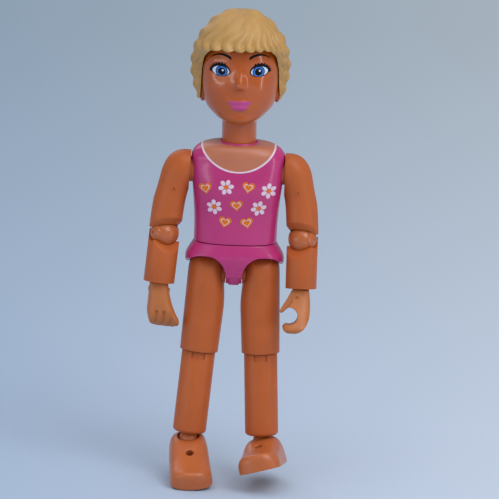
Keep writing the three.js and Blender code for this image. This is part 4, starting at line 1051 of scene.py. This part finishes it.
def pelvis_shape():
    half = through([
        (SEAM, WAIST_HALF), (HIP_FLARE_DROP, HIP_HALF), (HIP_FLARE_DROP + 2, HIP_HALF - 0.15),
        (HIP_DROP, HIP_HALF - 0.9),
    ])
    front = through([(SEAM, WAIST_FRONT), (HIP_FLARE_DROP, HIP_FRONT), (HIP_DROP, HIP_FRONT - 1.0)])
    back = through([(SEAM, WAIST_BACK), (HIP_FLARE_DROP, HIP_BACK), (HIP_DROP, HIP_BACK - 0.5)])
    body = loft(BODY_COLUMNS, [
        partial(pelvis_ring, drop=drop, half=half, front=front, back=back) for drop in steps(30, HIP_DROP, SEAM)
    ])
    room = THIGH_DOME + SEAM
    brow = room - HIP_DROP
    slope = (HIP_DROP - HIP_FLARE_DROP) / (HIP_FRONT + HIP_BACK)
    ahead, past = -HIP_FRONT - 9, HIP_BACK + 9
    for side in (-1, 1):
        x = side * HIP_OUT
        hub = bar_x(HUB_RADIUS + SEAM, *sorted((side * PANEL_HALF, x)), PEG_SIDES)
        slant = slab([
            (ahead, brow), (-HIP_FRONT, brow), (past, brow - slope * (HIP_FRONT + past)),
            (past, -FAR), (ahead, -FAR),
        ], "X", *sorted((x, side * FAR)))
        body = cut(
            body, moved(hip_barrel(side), x, 0, -HIP_DROP), moved(hub, 0, 0, -HIP_DROP),
            slab(leg_window(side, room), "Y", -FAR, 0),
            block(*sorted((side * WEB_HALF, side * FAR)), -FAR, FAR, -FAR, -HIP_DROP), slant,
        )
    return melt(join(body, column_shape()), VOXEL, 4)


def knee_room():
    """What the thigh leaves free for the calf's knuckle and for bending back."""
    gap, round_in = KNUCKLE_HALF + SEAM, KNUCKLE_RADIUS + SEAM
    return [
        bar_x(round_in, -gap, gap, BALL_SIDES),
        block(-gap, gap, 0, FAR, -1, round_in),
        block(-gap, gap, -round_in, FAR, -FAR, 0),
        slab([(0, 0), (FAR, FAR), (FAR, -1), (0, -1)], "X", -FAR, FAR),
    ]


def thigh_shape(side):
    shaft = [(mix(THIGH_DOME, KNEE_RADIUS, share), -THIGH_LONG * share) for share in steps(24, 0, 1)[1:]]
    leg = revolve([*square_arc(THIGH_DOME, 32, 90, 0), *shaft, (0, -THIGH_LONG)])
    inward = thigh_seat(side).to_3x3().inverted() @ Vector((-SIDES[side], 0, 0))
    leg = drawn_in(leg, inward.x, THIGH_PLAIN, THIGH_DRAWN)
    hub = bar(HUB_RADIUS, HUB_RADIUS, 0, HIP_OUT - PANEL_HALF - PLAY, PEG_SIDES)
    hub.transform(inward.to_track_quat("Z", "Y").to_matrix().to_4x4())
    leg = join(leg, hub)
    above = cut(block(-FAR, FAR, -FAR, FAR, 0, FAR), bar_x(THIGH_DOME, -FAR - 1, FAR + 1, 96))
    leg = cut(leg, above, *(moved(tool, 0, 0, -THIGH_LONG) for tool in knee_room()))
    return soften(leg, THIGH_EDGE)


def calf_shape():
    fillet = [
        (CALF_RADIUS - CALF_FILLET * (1 - c), CALF_FILLET * (1 - s) - CALF_LONG) for c, s in arc(1, 8, 0, 90)
    ]
    shank = revolve([(0, -SEAM), (CALF_RADIUS, -SEAM), *fillet, (0, -CALF_LONG)])
    rear = slab([(0, -SEAM), (FAR, -SEAM - FAR), (FAR, 1), (0, 1)], "X", -FAR, FAR)
    mark = block(-CALF_MARK_WIDE / 2, CALF_MARK_WIDE / 2, -FAR, 0, -CALF_MARK_HIGH, 1)
    floor = CALF_RADIUS - CALF_MARK_DEEP
    mark = cut(mark, bar(floor, floor, -FAR, FAR, LIMB_SIDES))
    tongue = join(
        bar_x(KNUCKLE_RADIUS, -KNUCKLE_HALF, KNUCKLE_HALF, BALL_SIDES),
        block(-KNUCKLE_HALF, KNUCKLE_HALF, -KNUCKLE_RADIUS, 1.2, -4, 0),
    )
    shank = join(cut(shank, rear, mark), tongue)
    well = bar(ANKLE_STEM + PLAY, ANKLE_STEM + PLAY, -FAR, PEG_WELL - CALF_LONG)
    return soften(cut(shank, well), CALF_EDGE)


def ankle_shape():
    return join(ball(ANKLE_BALL, BALL_SIDES), bar(ANKLE_STEM, ANKLE_STEM, 0, ANKLE_DROP + 2.8))


def foot_ring(turn, y, wide, high):
    share = turn / (2 * math.pi)
    half, top = wide(y), high(y)
    if share > 1 - SOLE_SHARE:
        return Vector((mix(half, -half, (share - 1 + SOLE_SHARE) / SOLE_SHARE), y, -SOLE_DROP))
    arch = math.pi * (1 - share / (1 - SOLE_SHARE))
    rise = top * abs(math.sin(arch)) ** (2 / FOOT_SQUARE_UP)
    return Vector((half * power(math.cos(arch), 2 / FOOT_SQUARE), y, rise - SOLE_DROP))


def foot_heights():
    toe, collar = -TOE_FRONT, SOLE_DROP + COLLAR_UP
    return through([
        (toe, TOE_HIGH - 0.9), (toe + 0.35, TOE_HIGH - 0.3), (toe + 1.0, TOE_HIGH), (toe + 2.4, TOE_HIGH + 0.1),
        (-6, TOE_HIGH + 0.75), (-2.2, collar - 0.36), (0, collar - 0.06), (1.6, collar - 0.2),
        (HEEL_BACK - 1, collar - 1), (HEEL_BACK, collar - 2.6),
    ])


def foot_shape():
    toe = -TOE_FRONT
    sides = through([
        (toe, TOE_HALF), (toe + TOE_ROUND, TOE_HALF), (-3, HEEL_HALF + 0.15), (1, HEEL_HALF),
        (HEEL_BACK - 1, HEEL_HALF - 0.35), (HEEL_BACK, HEEL_HALF - 1.5),
    ])

    def wide(y):
        ahead = min(max((toe + TOE_ROUND - y) / TOE_ROUND, 0), 1)
        return sides(y) * max(1 - ahead ** TOE_SQUARE, 0.004) ** (1 / TOE_SQUARE)

    high = foot_heights()
    places = [mix(toe, HEEL_BACK, (1 - math.cos(math.pi * t)) / 2) for t in steps(56, 0, 1)]
    foot = loft(FOOT_COLUMNS, [partial(foot_ring, y=y, wide=wide, high=high) for y in places])
    hole = turned(bar(INSTEP_HOLE, INSTEP_HOLE, -INSTEP_HOLE_DEEP, 3), INSTEP_HOLE_LEAN, "X")
    hole = moved(hole, 0, -INSTEP_HOLE_FRONT, high(-INSTEP_HOLE_FRONT) - SOLE_DROP)
    collar = bar(ANKLE_BALL - 0.1, ANKLE_BALL + 0.55, 0, 0.9, BALL_SIDES)
    studs = (
        moved(bar(STUD_SOCKET, STUD_SOCKET, -FAR, STUD_DEEP - SOLE_DROP), 0, y, 0)
        for y in (STUD_BACK, STUD_BACK - STUD_PITCH)
    )
    return melt(cut(foot, ball(ANKLE_BALL + PLAY, BALL_SIDES), collar, hole, *studs), VOXEL, 4)


# Printed decoration, drawn flat in (x, z) and laid on a piece that is already made

SURFACES = {}


def flat_disc(outline, columns=48, rows=6):
    """A flat shape whose edge is a function of the turn."""
    def place(along, out):
        x, z = outline(2 * math.pi * along)
        return Vector((x * out, 0, z * out))

    return grid(columns, rows, place, PRINT_WELD)


def flat_band(line, columns, rows):
    """A flat band: line gives (x, z) from its place along (0 to 1) and across (-1 to 1)."""
    def place(along, across):
        x, z = line(along, 2 * across - 1)
        return Vector((x, 0, z))

    return grid(columns, rows, place, PRINT_WELD)


def laid(bm, surface, lift):
    """Presses a flat print onto the front of a surface, as a thin closed film."""
    tree = SURFACES[surface]
    for vert in bm.verts:
        place, normal, _, _ = tree.ray_cast(Vector((vert.co.x, -FAR, vert.co.z)), Vector((0, 1, 0)))
        if place is None:
            raise RuntimeError(f"a print misses the {surface}")
        vert.co = place + normal * lift
    return film(bm, tree)


def film(bm, tree):
    """Gives a print a thin body that sinks into the surface below it."""
    made = bmesh.ops.extrude_face_region(bm, geom=bm.faces[:], use_keep_orig=True)["geom"]
    for vert in made:
        if isinstance(vert, bmesh.types.BMVert):
            _, normal, _, _ = tree.find_nearest(vert.co)
            vert.co -= normal * FILM
    bmesh.ops.recalc_face_normals(bm, faces=bm.faces)
    return bm


def stacked(prints):
    """Joins prints into one bmesh. Each comes with the index of its ink."""
    whole = bmesh.new()
    for bm, index in prints:
        for face in bm.faces:
            face.material_index = index
        mesh = bpy.data.meshes.new("print")
        bm.to_mesh(mesh)
        bm.free()
        whole.from_mesh(mesh)
        bpy.data.meshes.remove(mesh)
    return whole


def shifted_print(bm, x, z, lean=0, mirror=1):
    bm.transform(Matrix.Translation((x, 0, z)) @ Matrix.Scale(mirror, 4, (1, 0, 0))
                 @ Matrix.Rotation(math.radians(-lean), 4, "Y"))
    return bm


def almond(turn, half, upper, lower):
    c, s = math.cos(turn), math.sin(turn)
    return half * power(c, ALMOND_ACROSS), (upper if s > 0 else lower) * power(s, ALMOND_UP)


def within(outline_at, radius):
    """Edge of a circle where it lies inside another outline."""
    def edge(turn):
        c, s = math.cos(turn), math.sin(turn)
        low, high = 0.0, radius
        for _ in range(24):
            middle = (low + high) / 2
            if outline_at(middle * c, middle * s):
                low = middle
            else:
                high = middle
        return low * c, low * s

    return edge


def eye_prints(side):
    """Printed eye: lid line, white, iris, pupil, glint and lashes."""
    looks = bpy.context.scene.doll_sizes
    half = looks.eye_width / 2
    upper, lower = (looks.eye_height * share for share in LID_SHARES)

    def inside(x, z):
        limit = upper if z > 0 else lower
        share = min(abs(x) / half, 1)
        return abs(x) < half and abs(z) < limit * math.sin(math.acos(share)) ** ALMOND_UP

    def shape(bm, lift, index):
        bm = shifted_print(bm, side * EYE_OUT, EYE_UP, looks.eye_lean, side)
        return laid(bm, "head", lift), index

    def round_print(radius):
        edge = within(lambda x, z: inside(x + GAZE.x, z + GAZE.y), radius)
        return moved(flat_disc(edge), GAZE.x, 0, GAZE.y)

    lid = partial(almond, half=half + LID_AROUND, upper=upper + LID_ABOVE, lower=lower + LID_BELOW)
    layers = [
        (flat_disc(lid), LINE_INK),
        (flat_disc(partial(almond, half=half, upper=upper, lower=lower)), WHITE_INK),
        (round_print(looks.iris / 2), RIM_INK),
        (round_print(looks.iris / 2 * IRIS_SHARE), IRIS_INK),
        (round_print(looks.pupil / 2), LINE_INK),
    ]
    prints = [shape(bm, LIFT + LAYER * i, index) for i, (bm, index) in enumerate(layers)]
    glint = flat_disc(partial(circle_outline, size=GLINT), 24, 3)
    glint = shifted_print(glint, side * (EYE_OUT + GAZE.x) + GLINT_SHIFT.x, EYE_UP + GAZE.y + GLINT_SHIFT.y)
    prints.append((laid(glint, "head", LIFT + LAYER * len(layers)), WHITE_INK))
    for i in range(looks.lashes):
        share = i / (looks.lashes - 1)
        turn = math.radians(mix(*LASH_TURNS, share))
        x, z = almond(turn, half + LID_AROUND / 3, upper + 0.34, lower)
        size = looks.lash_length * mix(*LASH_SIZES, share)
        lash = flat_band(lambda t, s: (size * t, LASH_HALF * s * (1 - t) ** 0.7), 6, 2)
        lash = shifted_print(lash, x, z, mix(*LASH_LEANS, share))
        prints.append(shape(lash, LIFT + LAYER / 4, LINE_INK))
    return prints


def brow_prints(side):
    looks = bpy.context.scene.doll_sizes

    def line(t, s):
        x = mix(-BROW_HALF, BROW_HALF, t)
        z = BROW_UP + BROW_ARCH * (1 - ((t - 0.48) / 0.5) ** 2)
        end = min(1, (t / 0.06) ** 0.5) if t < 0.06 else 1
        return x, z + s * end * looks.brow_width / 2 * mix(1, 0.22, t ** 0.9)

    bm = shifted_print(flat_band(line, 40, 3), side * EYE_OUT, EYE_UP, 0, side)
    return [(laid(bm, "head", LIFT + LAYER), LINE_INK)]


def lip_prints():
    looks = bpy.context.scene.doll_sizes
    half = looks.lip_width / 2

    def line(t, s):
        u = 2 * t - 1
        top = LIP_CORNER + LIP_RISE * (1 - u * u) - LIP_DIP * bump(u, 0.22)
        foot = LIP_CORNER - LIP_FULL * (1 - abs(u) ** 3)
        return half * u, mix(foot, top, (s + 1) / 2)

    return [(laid(shifted_print(flat_band(line, 48, 12), 0, LIP_UP), "head", LIFT + LAYER), LIP_INK)]


def neckline(x, lowest):
    """Height of the neckline's edge at a distance from the middle."""
    share = min(abs(x) / NECKLINE_HALF, 1)
    return TORSO_HEIGHT - (TORSO_HEIGHT - lowest) * (1 - share * share) ** 0.7


def neckline_level(turn, grow):
    """Torso level at which the bare neckline ends, let out by grow."""
    looks = bpy.context.scene.doll_sizes
    low, high = 0.3, 1.0
    for _ in range(22):
        level = (low + high) / 2
        point = torso_point(turn, level)
        lowest = TORSO_HEIGHT - looks.neckline_drop * (1 if point.y < 0 else NECKLINE_BACK)
        aside = max(abs(point.x) - grow, 0)
        if point.z > neckline(aside, lowest) - grow:
            high = level
        else:
            low = level
    return high


def torso_film(inner, outer, lift, rows):
    """Printed band round the torso's top between two edges, each a level for every turn."""
    turns = steps(FILM_COLUMNS, 0, 2 * math.pi)
    spans = [(inner(turn), outer(turn)) for turn in turns]
    tree = SURFACES["torso"]

    def place(along, across):
        column = round(along * FILM_COLUMNS)
        near, far = spans[column]
        level = mix(near, far, across)
        point = torso_point(turns[column], level if far <= 1 or across > 0.995 else min(level, 1))
        _, normal, _, _ = tree.find_nearest(point)
        return point + normal * lift

    return film(grid(FILM_COLUMNS, rows, place, PRINT_WELD), tree)


def petal_outline(turn, size):
    return size * PETAL_LONG * math.cos(turn), size * PETAL_WIDE * math.sin(turn)


def heart_outline(turn, size):
    x = 16 * math.sin(turn) ** 3
    z = 13 * math.cos(turn) - 5 * math.cos(2 * turn) - 2 * math.cos(3 * turn) - math.cos(4 * turn)
    return size * x / 34, size * (z + 2) / 34


def circle_outline(turn, size):
    return size / 2 * math.cos(turn), size / 2 * math.sin(turn)


def flower_prints(x, z, size, lean):
    """Six-petalled flower with a coloured middle."""
    prints = []
    for i in range(PETALS):
        petal = shifted_print(flat_disc(partial(petal_outline, size=size), 28, 3), size * PETAL_OUT, 0)
        petal = shifted_print(shifted_print(petal, 0, 0, lean + 360 / PETALS * i), x, z)
        prints.append((laid(petal, "torso", SUIT_LIFT), PALE_INK))
    middle = shifted_print(flat_disc(partial(circle_outline, size=size * FLOWER_MIDDLE), 24, 2), x, z)
    prints.append((laid(middle, "torso", SUIT_LIFT + SUIT_LAYER), WARM_INK))
    return prints


def heart_prints(x, z, size, lean):
    """Heart with a pale line inside."""
    prints = []
    for i, (share, index) in enumerate(((1, WARM_INK), (HEART_LINE, LIGHT_INK), (HEART_INSIDE, WARM_INK))):
        shape = flat_disc(partial(heart_outline, size=size * share * HEART_SHARE), 40, 5)
        prints.append((laid(shifted_print(shape, x, z, lean), "torso", SUIT_LIFT + SUIT_LAYER * i), index))
    return prints


# Settings that a user would change

Number = bpy.props.FloatProperty
Colour = partial(bpy.props.FloatVectorProperty, subtype="COLOR", size=3)
Angle = partial(bpy.props.FloatProperty, subtype="ANGLE")
Power = partial(bpy.props.FloatProperty, unit="POWER")


class DollSizes(bpy.types.PropertyGroup):
    """Sizes of moulded and printed details, in millimetres."""

    lock_depth: Number(name="Lock depth", description="Relief of a fringe lock", default=0.6)
    curl_depth: Number(name="Curl depth", description="Relief of a side wave", default=0.6)
    fringe_scallop: Number(name="Fringe scallop", description="Depth of the fringe's scallops", default=0.3)
    eye_width: Number(name="Eye width", description="Width of the white", default=3.2)
    eye_height: Number(name="Eye height", description="Height of the white", default=1.86)
    eye_lean: Number(name="Eye lean", description="Rise of the outer corner in degrees", default=2)
    iris: Number(name="Iris", description="Diameter of the iris", default=2.32)
    pupil: Number(name="Pupil", description="Diameter of the pupil", default=1.44)
    lashes: bpy.props.IntProperty(name="Lashes", description="Lashes of one eye", default=8, min=2)
    lash_length: Number(name="Lash length", description="Longest lash", default=0.58)
    brow_width: Number(name="Brow width", description="Brow at its thick end", default=0.62)
    lip_width: Number(name="Lip width", description="Width of the mouth", default=4.3)
    neckline_drop: Number(name="Neckline drop", description="From the collar down to the neckline", default=4.7)
    trim: Number(name="Trim", description="Width of the neckline's pale edge", default=0.26)
    motif: Number(name="Motif", description="Size of a printed motif", default=3.1)


class DollColours(bpy.types.PropertyGroup):
    """Colours of the plastics and inks."""

    skin: Colour(name="Skin", description="Plastic of the head", default=srgb(182, 84, 17))
    bare: Colour(name="Neckline", description="Print inside the neckline", default=srgb(186, 108, 74))
    limb: Colour(name="Limbs", description="Plastic of the arms and legs", default=srgb(183, 92, 42))
    hand: Colour(name="Hands", description="Plastic of the hands", default=srgb(186, 108, 54))
    joint: Colour(name="Joints", description="Plastic of the balls and feet", default=srgb(184, 98, 50))
    hair: Colour(name="Hair", description="Plastic of the hair", default=srgb(186, 143, 80))
    suit: Colour(name="Suit", description="Plastic of the swimsuit", default=srgb(186, 48, 114))
    trim: Colour(name="Trim", description="Pale print", default=srgb(222, 200, 214))
    motif: Colour(name="Motif", description="Warm print", default=srgb(220, 116, 30))
    lips: Colour(name="Lips", description="Lip print", default=srgb(190, 78, 134))
    iris: Colour(name="Iris", description="Iris print", default=srgb(66, 126, 216))
    line: Colour(name="Line", description="Dark print", default=srgb(12, 10, 11))
    backdrop: Colour(name="Backdrop", description="Floor", default=srgb(194, 207, 226))


class DollView(bpy.types.PropertyGroup):
    """Camera and light."""

    rise: Angle(name="Rise", description="Camera height as an angle", default=math.radians(13))
    lean: Angle(name="Lean", description="Turn of the camera about its view", default=math.radians(2.3))
    away: Number(name="Distance", description="Camera to waist", unit="LENGTH", default=2.2)
    lens: Number(name="Lens", description="Focal length", unit="CAMERA", default=833.2)
    key: Power(name="Key light", description="Power of the large lamp", default=1.4)
    fill: Power(name="Fill light", description="Power of the side lamp", default=0.25)
    top: Power(name="Top light", description="Power of the lamp above", default=6)
    back: Power(name="Back light", description="Power of the lamp behind", default=0.7)
    strips: Power(name="Strip lights", description="Power of each narrow side lamp", default=0.1)


# Operators

class DOLL_OT_stage(bpy.types.Operator):
    """Makes the floor, the lamps and the camera"""

    bl_idname = "doll.stage"
    bl_label = "Stage"

    def execute(self, context):
        view = context.scene.doll_view
        waist = spot("waist_turn")
        self.floor(context)
        self.lamps(context, waist)
        self.room(context)
        aim = Matrix.Rotation(math.pi / 2 - view.rise, 4, "X") @ Matrix.Rotation(view.lean, 4, "Z")
        lens = bpy.data.cameras.new("camera")
        lens.lens = view.lens
        lens.clip_start, lens.clip_end = 0.05, 5
        camera = bpy.data.objects.new("camera", lens)
        context.scene.collection.objects.link(camera)
        back = Matrix.Translation((*CAMERA_ASIDE, view.away))
        camera.matrix_world = Matrix.Translation(waist) @ aim @ back
        context.scene.camera = camera
        context.scene.view_settings.view_transform = "Standard"
        return {"FINISHED"}

    def floor(self, context):
        """Pale floor, wide enough to fill the view."""
        bm = bmesh.new()
        bmesh.ops.create_grid(bm, x_segments=8, y_segments=8, size=FLOOR_HALF)
        stage = loose("floor", bm)
        stage.data.materials.append(paper(context.scene.doll_colours.backdrop))

    def lamps(self, context, waist):
        for name, place, wide, high, setting in LAMPS:
            lamp = bpy.data.lights.new(name, "AREA")
            lamp.shape = "RECTANGLE"
            lamp.size, lamp.size_y = wide, high
            lamp.energy = getattr(context.scene.doll_view, setting)
            holder = bpy.data.objects.new(name, lamp)
            context.scene.collection.objects.link(holder)
            holder.location = waist + Vector(place)
            holder.rotation_euler = Vector(place).to_track_quat("Z", "Y").to_euler()

    def room(self, context):
        """Soft light from all round. Seen past the floor's edge, the room has the tone of the far floor."""
        world = bpy.data.worlds.new("room")
        context.scene.world = world
        world.use_nodes = True
        nodes, links = world.node_tree.nodes, world.node_tree.links
        light = set_inputs(nodes["Background"], Color=ROOM_TINT, Strength=ROOM_LIGHT)
        beyond = set_inputs(nodes.new("ShaderNodeBackground"), Color=(*srgb(*FAR_TONE), 1))
        path = nodes.new("ShaderNodeLightPath")
        choice = nodes.new("ShaderNodeMixShader")
        seen = path.outputs["Is Camera Ray"]
        for way in ("Is Glossy Ray", "Is Transmission Ray"):
            either = nodes.new("ShaderNodeMath")
            either.operation = "MAXIMUM"
            links.new(seen, either.inputs[0])
            links.new(path.outputs[way], either.inputs[1])
            seen = either.outputs["Value"]
        links.new(seen, choice.inputs["Fac"])
        links.new(light.outputs["Background"], choice.inputs[1])
        links.new(beyond.outputs["Background"], choice.inputs[2])
        links.new(choice.outputs["Shader"], nodes["World Output"].inputs["Surface"])


class DOLL_OT_torso(bpy.types.Operator):
    """Models the two halves of the torso"""

    bl_idname = "doll.torso"
    bl_label = "Torso"

    def execute(self, context):
        whole = torso_shape()
        SURFACES["torso"] = BVHTree.FromBMesh(whole)
        for name, side in (("front", -1), ("back", 1)):
            half = soften(halved(whole.copy(), side), TORSO_EDGE)
            node = f"torso_{name}"
            piece(f"{node}_shell", half, body_seat(), "chest", [node], "suit", [plastic("suit_plastic")])
        whole.free()
        return {"FINISHED"}


class DOLL_OT_suit_print(bpy.types.Operator):
    """Prints the bare neckline, its pale trim and the scattered flowers and hearts"""

    bl_idname = "doll.suit_print"
    bl_label = "Suit print"

    def execute(self, context):
        colours, looks = context.scene.doll_colours, context.scene.doll_sizes
        edge = partial(neckline_level, grow=0)
        trim = partial(neckline_level, grow=looks.trim)
        inks = [ink("trim", colours.trim), ink("motif", colours.motif), ink("motif_light", colours.trim)]
        bare = torso_film(edge, lambda turn: NECK_LEVEL, SUIT_LIFT, NECKLINE_ROWS)
        piece("neckline_print", bare, body_seat(), "chest", [], "skin", [plastic("neckline_ink")])
        band = torso_film(trim, edge, SUIT_LIFT + SUIT_LAYER, TRIM_ROWS)
        piece("neckline_trim", band, body_seat(), "chest", [], "suit", inks[:1])
        prints = []
        for x, z, kind, lean in SUIT_MOTIFS:
            prints += (flower_prints if kind == "flower" else heart_prints)(x, z, looks.motif, lean)
        piece("suit_print", stacked(prints), body_seat(), "chest", [], "suit", inks)
        return {"FINISHED"}


class DOLL_OT_pelvis(bpy.types.Operator):
    """Models the lower part of the swimsuit"""

    bl_idname = "doll.pelvis"
    bl_label = "Pelvis"

    def execute(self, context):
        look = [plastic("suit_plastic")]
        piece("pelvis_shell", pelvis_shape(), body_seat(), "hips", ["pelvis"], "suit", look, SOFT_CREASE)
        return {"FINISHED"}


class DOLL_OT_head(bpy.types.Operator):
    """Models the head with its neck and ears"""

    bl_idname = "doll.head"
    bl_label = "Head"

    def execute(self, context):
        shape = head_shape()
        SURFACES["head"] = BVHTree.FromBMesh(shape)
        look = [plastic("skin_plastic")]
        piece("head_shell", shape, head_seat(), "head", ["head"], "skin", look, HEAD_CREASE)
        return {"FINISHED"}


class DOLL_OT_face_print(bpy.types.Operator):
    """Prints the eyes, brows and lips"""

    bl_idname = "doll.face_print"
    bl_label = "Face print"

    def execute(self, context):
        colours = context.scene.doll_colours
        prints = [row for side in (-1, 1) for row in eye_prints(side) + brow_prints(side)] + lip_prints()
        inks = [
            ink("line", colours.line), ink("white", srgb(*EYE_WHITE)), ink("iris_rim", tint(colours.iris, 0.3)),
            ink("iris", colours.iris), ink("lips", colours.lips),
        ]
        piece("face_print", stacked(prints), head_seat(), "head", [], "skin", inks)
        return {"FINISHED"}


class DOLL_OT_hair(bpy.types.Operator):
    """Models the moulded hair cap"""

    bl_idname = "doll.hair"
    bl_label = "Hair"

    def execute(self, context):
        cap = soften(largest(hair_shape()), HAIR_EDGE, HEAD_CREASE)
        piece("hair_cap", cap, head_seat(), "head", ["hair"], "hair", [plastic("hair_plastic")], SOFT_CREASE)
        return {"FINISHED"}


class DOLL_OT_arms(bpy.types.Operator):
    """Models the upper arms, elbow balls and forearms"""

    bl_idname = "doll.arms"
    bl_label = "Arms"

    def execute(self, context):
        for side, sign in SIDES.items():
            arm, elbow = sided(upper_arm_shape(side), sign), sided(elbow_ball_shape(), sign)
            limb(side, "upper_arm_shell", arm, upper_arm_seat(side), "upper_arm", "limb_plastic")
            place = forearm_seat(side)
            limb(side, "elbow_knuckle", elbow, place, "elbow", "joint_plastic", "elbow_ball", "joint")
            limb(side, "forearm_sleeve", sided(forearm_shape(), sign), place, "forearm", "limb_plastic")
        return {"FINISHED"}


class DOLL_OT_hands(bpy.types.Operator):
    """Models the gripping hands"""

    bl_idname = "doll.hands"
    bl_label = "Hands"

    def execute(self, context):
        for side, sign in SIDES.items():
            hand = sided(hand_shape(), sign)
            limb(side, "hand_grip", hand, hand_seat(side), "hand", "hand_plastic", crease=SOFT_CREASE)
        return {"FINISHED"}


class DOLL_OT_legs(bpy.types.Operator):
    """Models the thighs, calves and ankle balls, and finishes the hidden pins"""

    bl_idname = "doll.legs"
    bl_label = "Legs"

    def execute(self, context):
        pins = [frame["nodes"]["hip_axle"]]
        for side in SIDES:
            limb(side, "thigh_tube", thigh_shape(side), thigh_seat(side), "thigh", "limb_plastic")
            limb(side, "calf_tube", calf_shape(), calf_seat(side), "calf", "limb_plastic")
            place = ankle_seat(side)
            limb(side, "ankle_knuckle", ankle_shape(), place, "ankle", "joint_plastic", "ankle_ball", "joint")
            pins.append(frame["nodes"][f"{side}_knee_pin"])
        steel = moulded("pin_steel", srgb(*STEEL), 0.3, 0.04, Metallic=1)
        for pin in pins:
            pin.data.materials.clear()
            pin.data.materials.append(steel)
        return {"FINISHED"}


class DOLL_OT_feet(bpy.types.Operator):
    """Models the feet"""

    bl_idname = "doll.feet"
    bl_label = "Feet"

    def execute(self, context):
        for side in SIDES:
            limb(side, "foot_block", foot_shape(), foot_seat(side), "foot", "foot_plastic", crease=SOFT_CREASE)
        return {"FINISHED"}


OPERATORS = (
    DOLL_OT_stage, DOLL_OT_torso, DOLL_OT_suit_print, DOLL_OT_pelvis, DOLL_OT_head, DOLL_OT_face_print,
    DOLL_OT_hair, DOLL_OT_arms, DOLL_OT_hands, DOLL_OT_legs, DOLL_OT_feet,
)


class DOLL_PT_pieces(bpy.types.Panel):
    """Lists the steps that make the doll"""

    bl_idname = "DOLL_PT_pieces"
    bl_label = "Jointed doll"
    bl_space_type = "VIEW_3D"
    bl_region_type = "UI"
    bl_category = "Doll"

    def draw(self, context):
        for operator in OPERATORS:
            self.layout.operator(operator.bl_idname)
        for group in (context.scene.doll_sizes, context.scene.doll_colours, context.scene.doll_view):
            box = self.layout.box()
            for name in group.__annotations__:
                box.prop(group, name)


GROUPS = {"doll_sizes": DollSizes, "doll_colours": DollColours, "doll_view": DollView}


def register():
    for name, group in GROUPS.items():
        bpy.utils.register_class(group)
        setattr(bpy.types.Scene, name, bpy.props.PointerProperty(type=group))
    for made in (*OPERATORS, DOLL_PT_pieces):
        bpy.utils.register_class(made)


def unregister():
    for made in reversed((*OPERATORS, DOLL_PT_pieces)):
        bpy.utils.unregister_class(made)
    for name, group in GROUPS.items():
        delattr(bpy.types.Scene, name)
        bpy.utils.unregister_class(group)


def main():
    register()
    for operator in OPERATORS:
        group, name = operator.bl_idname.split(".")
        getattr(getattr(bpy.ops, group), name)()


if __name__ == "__main__":
    main()
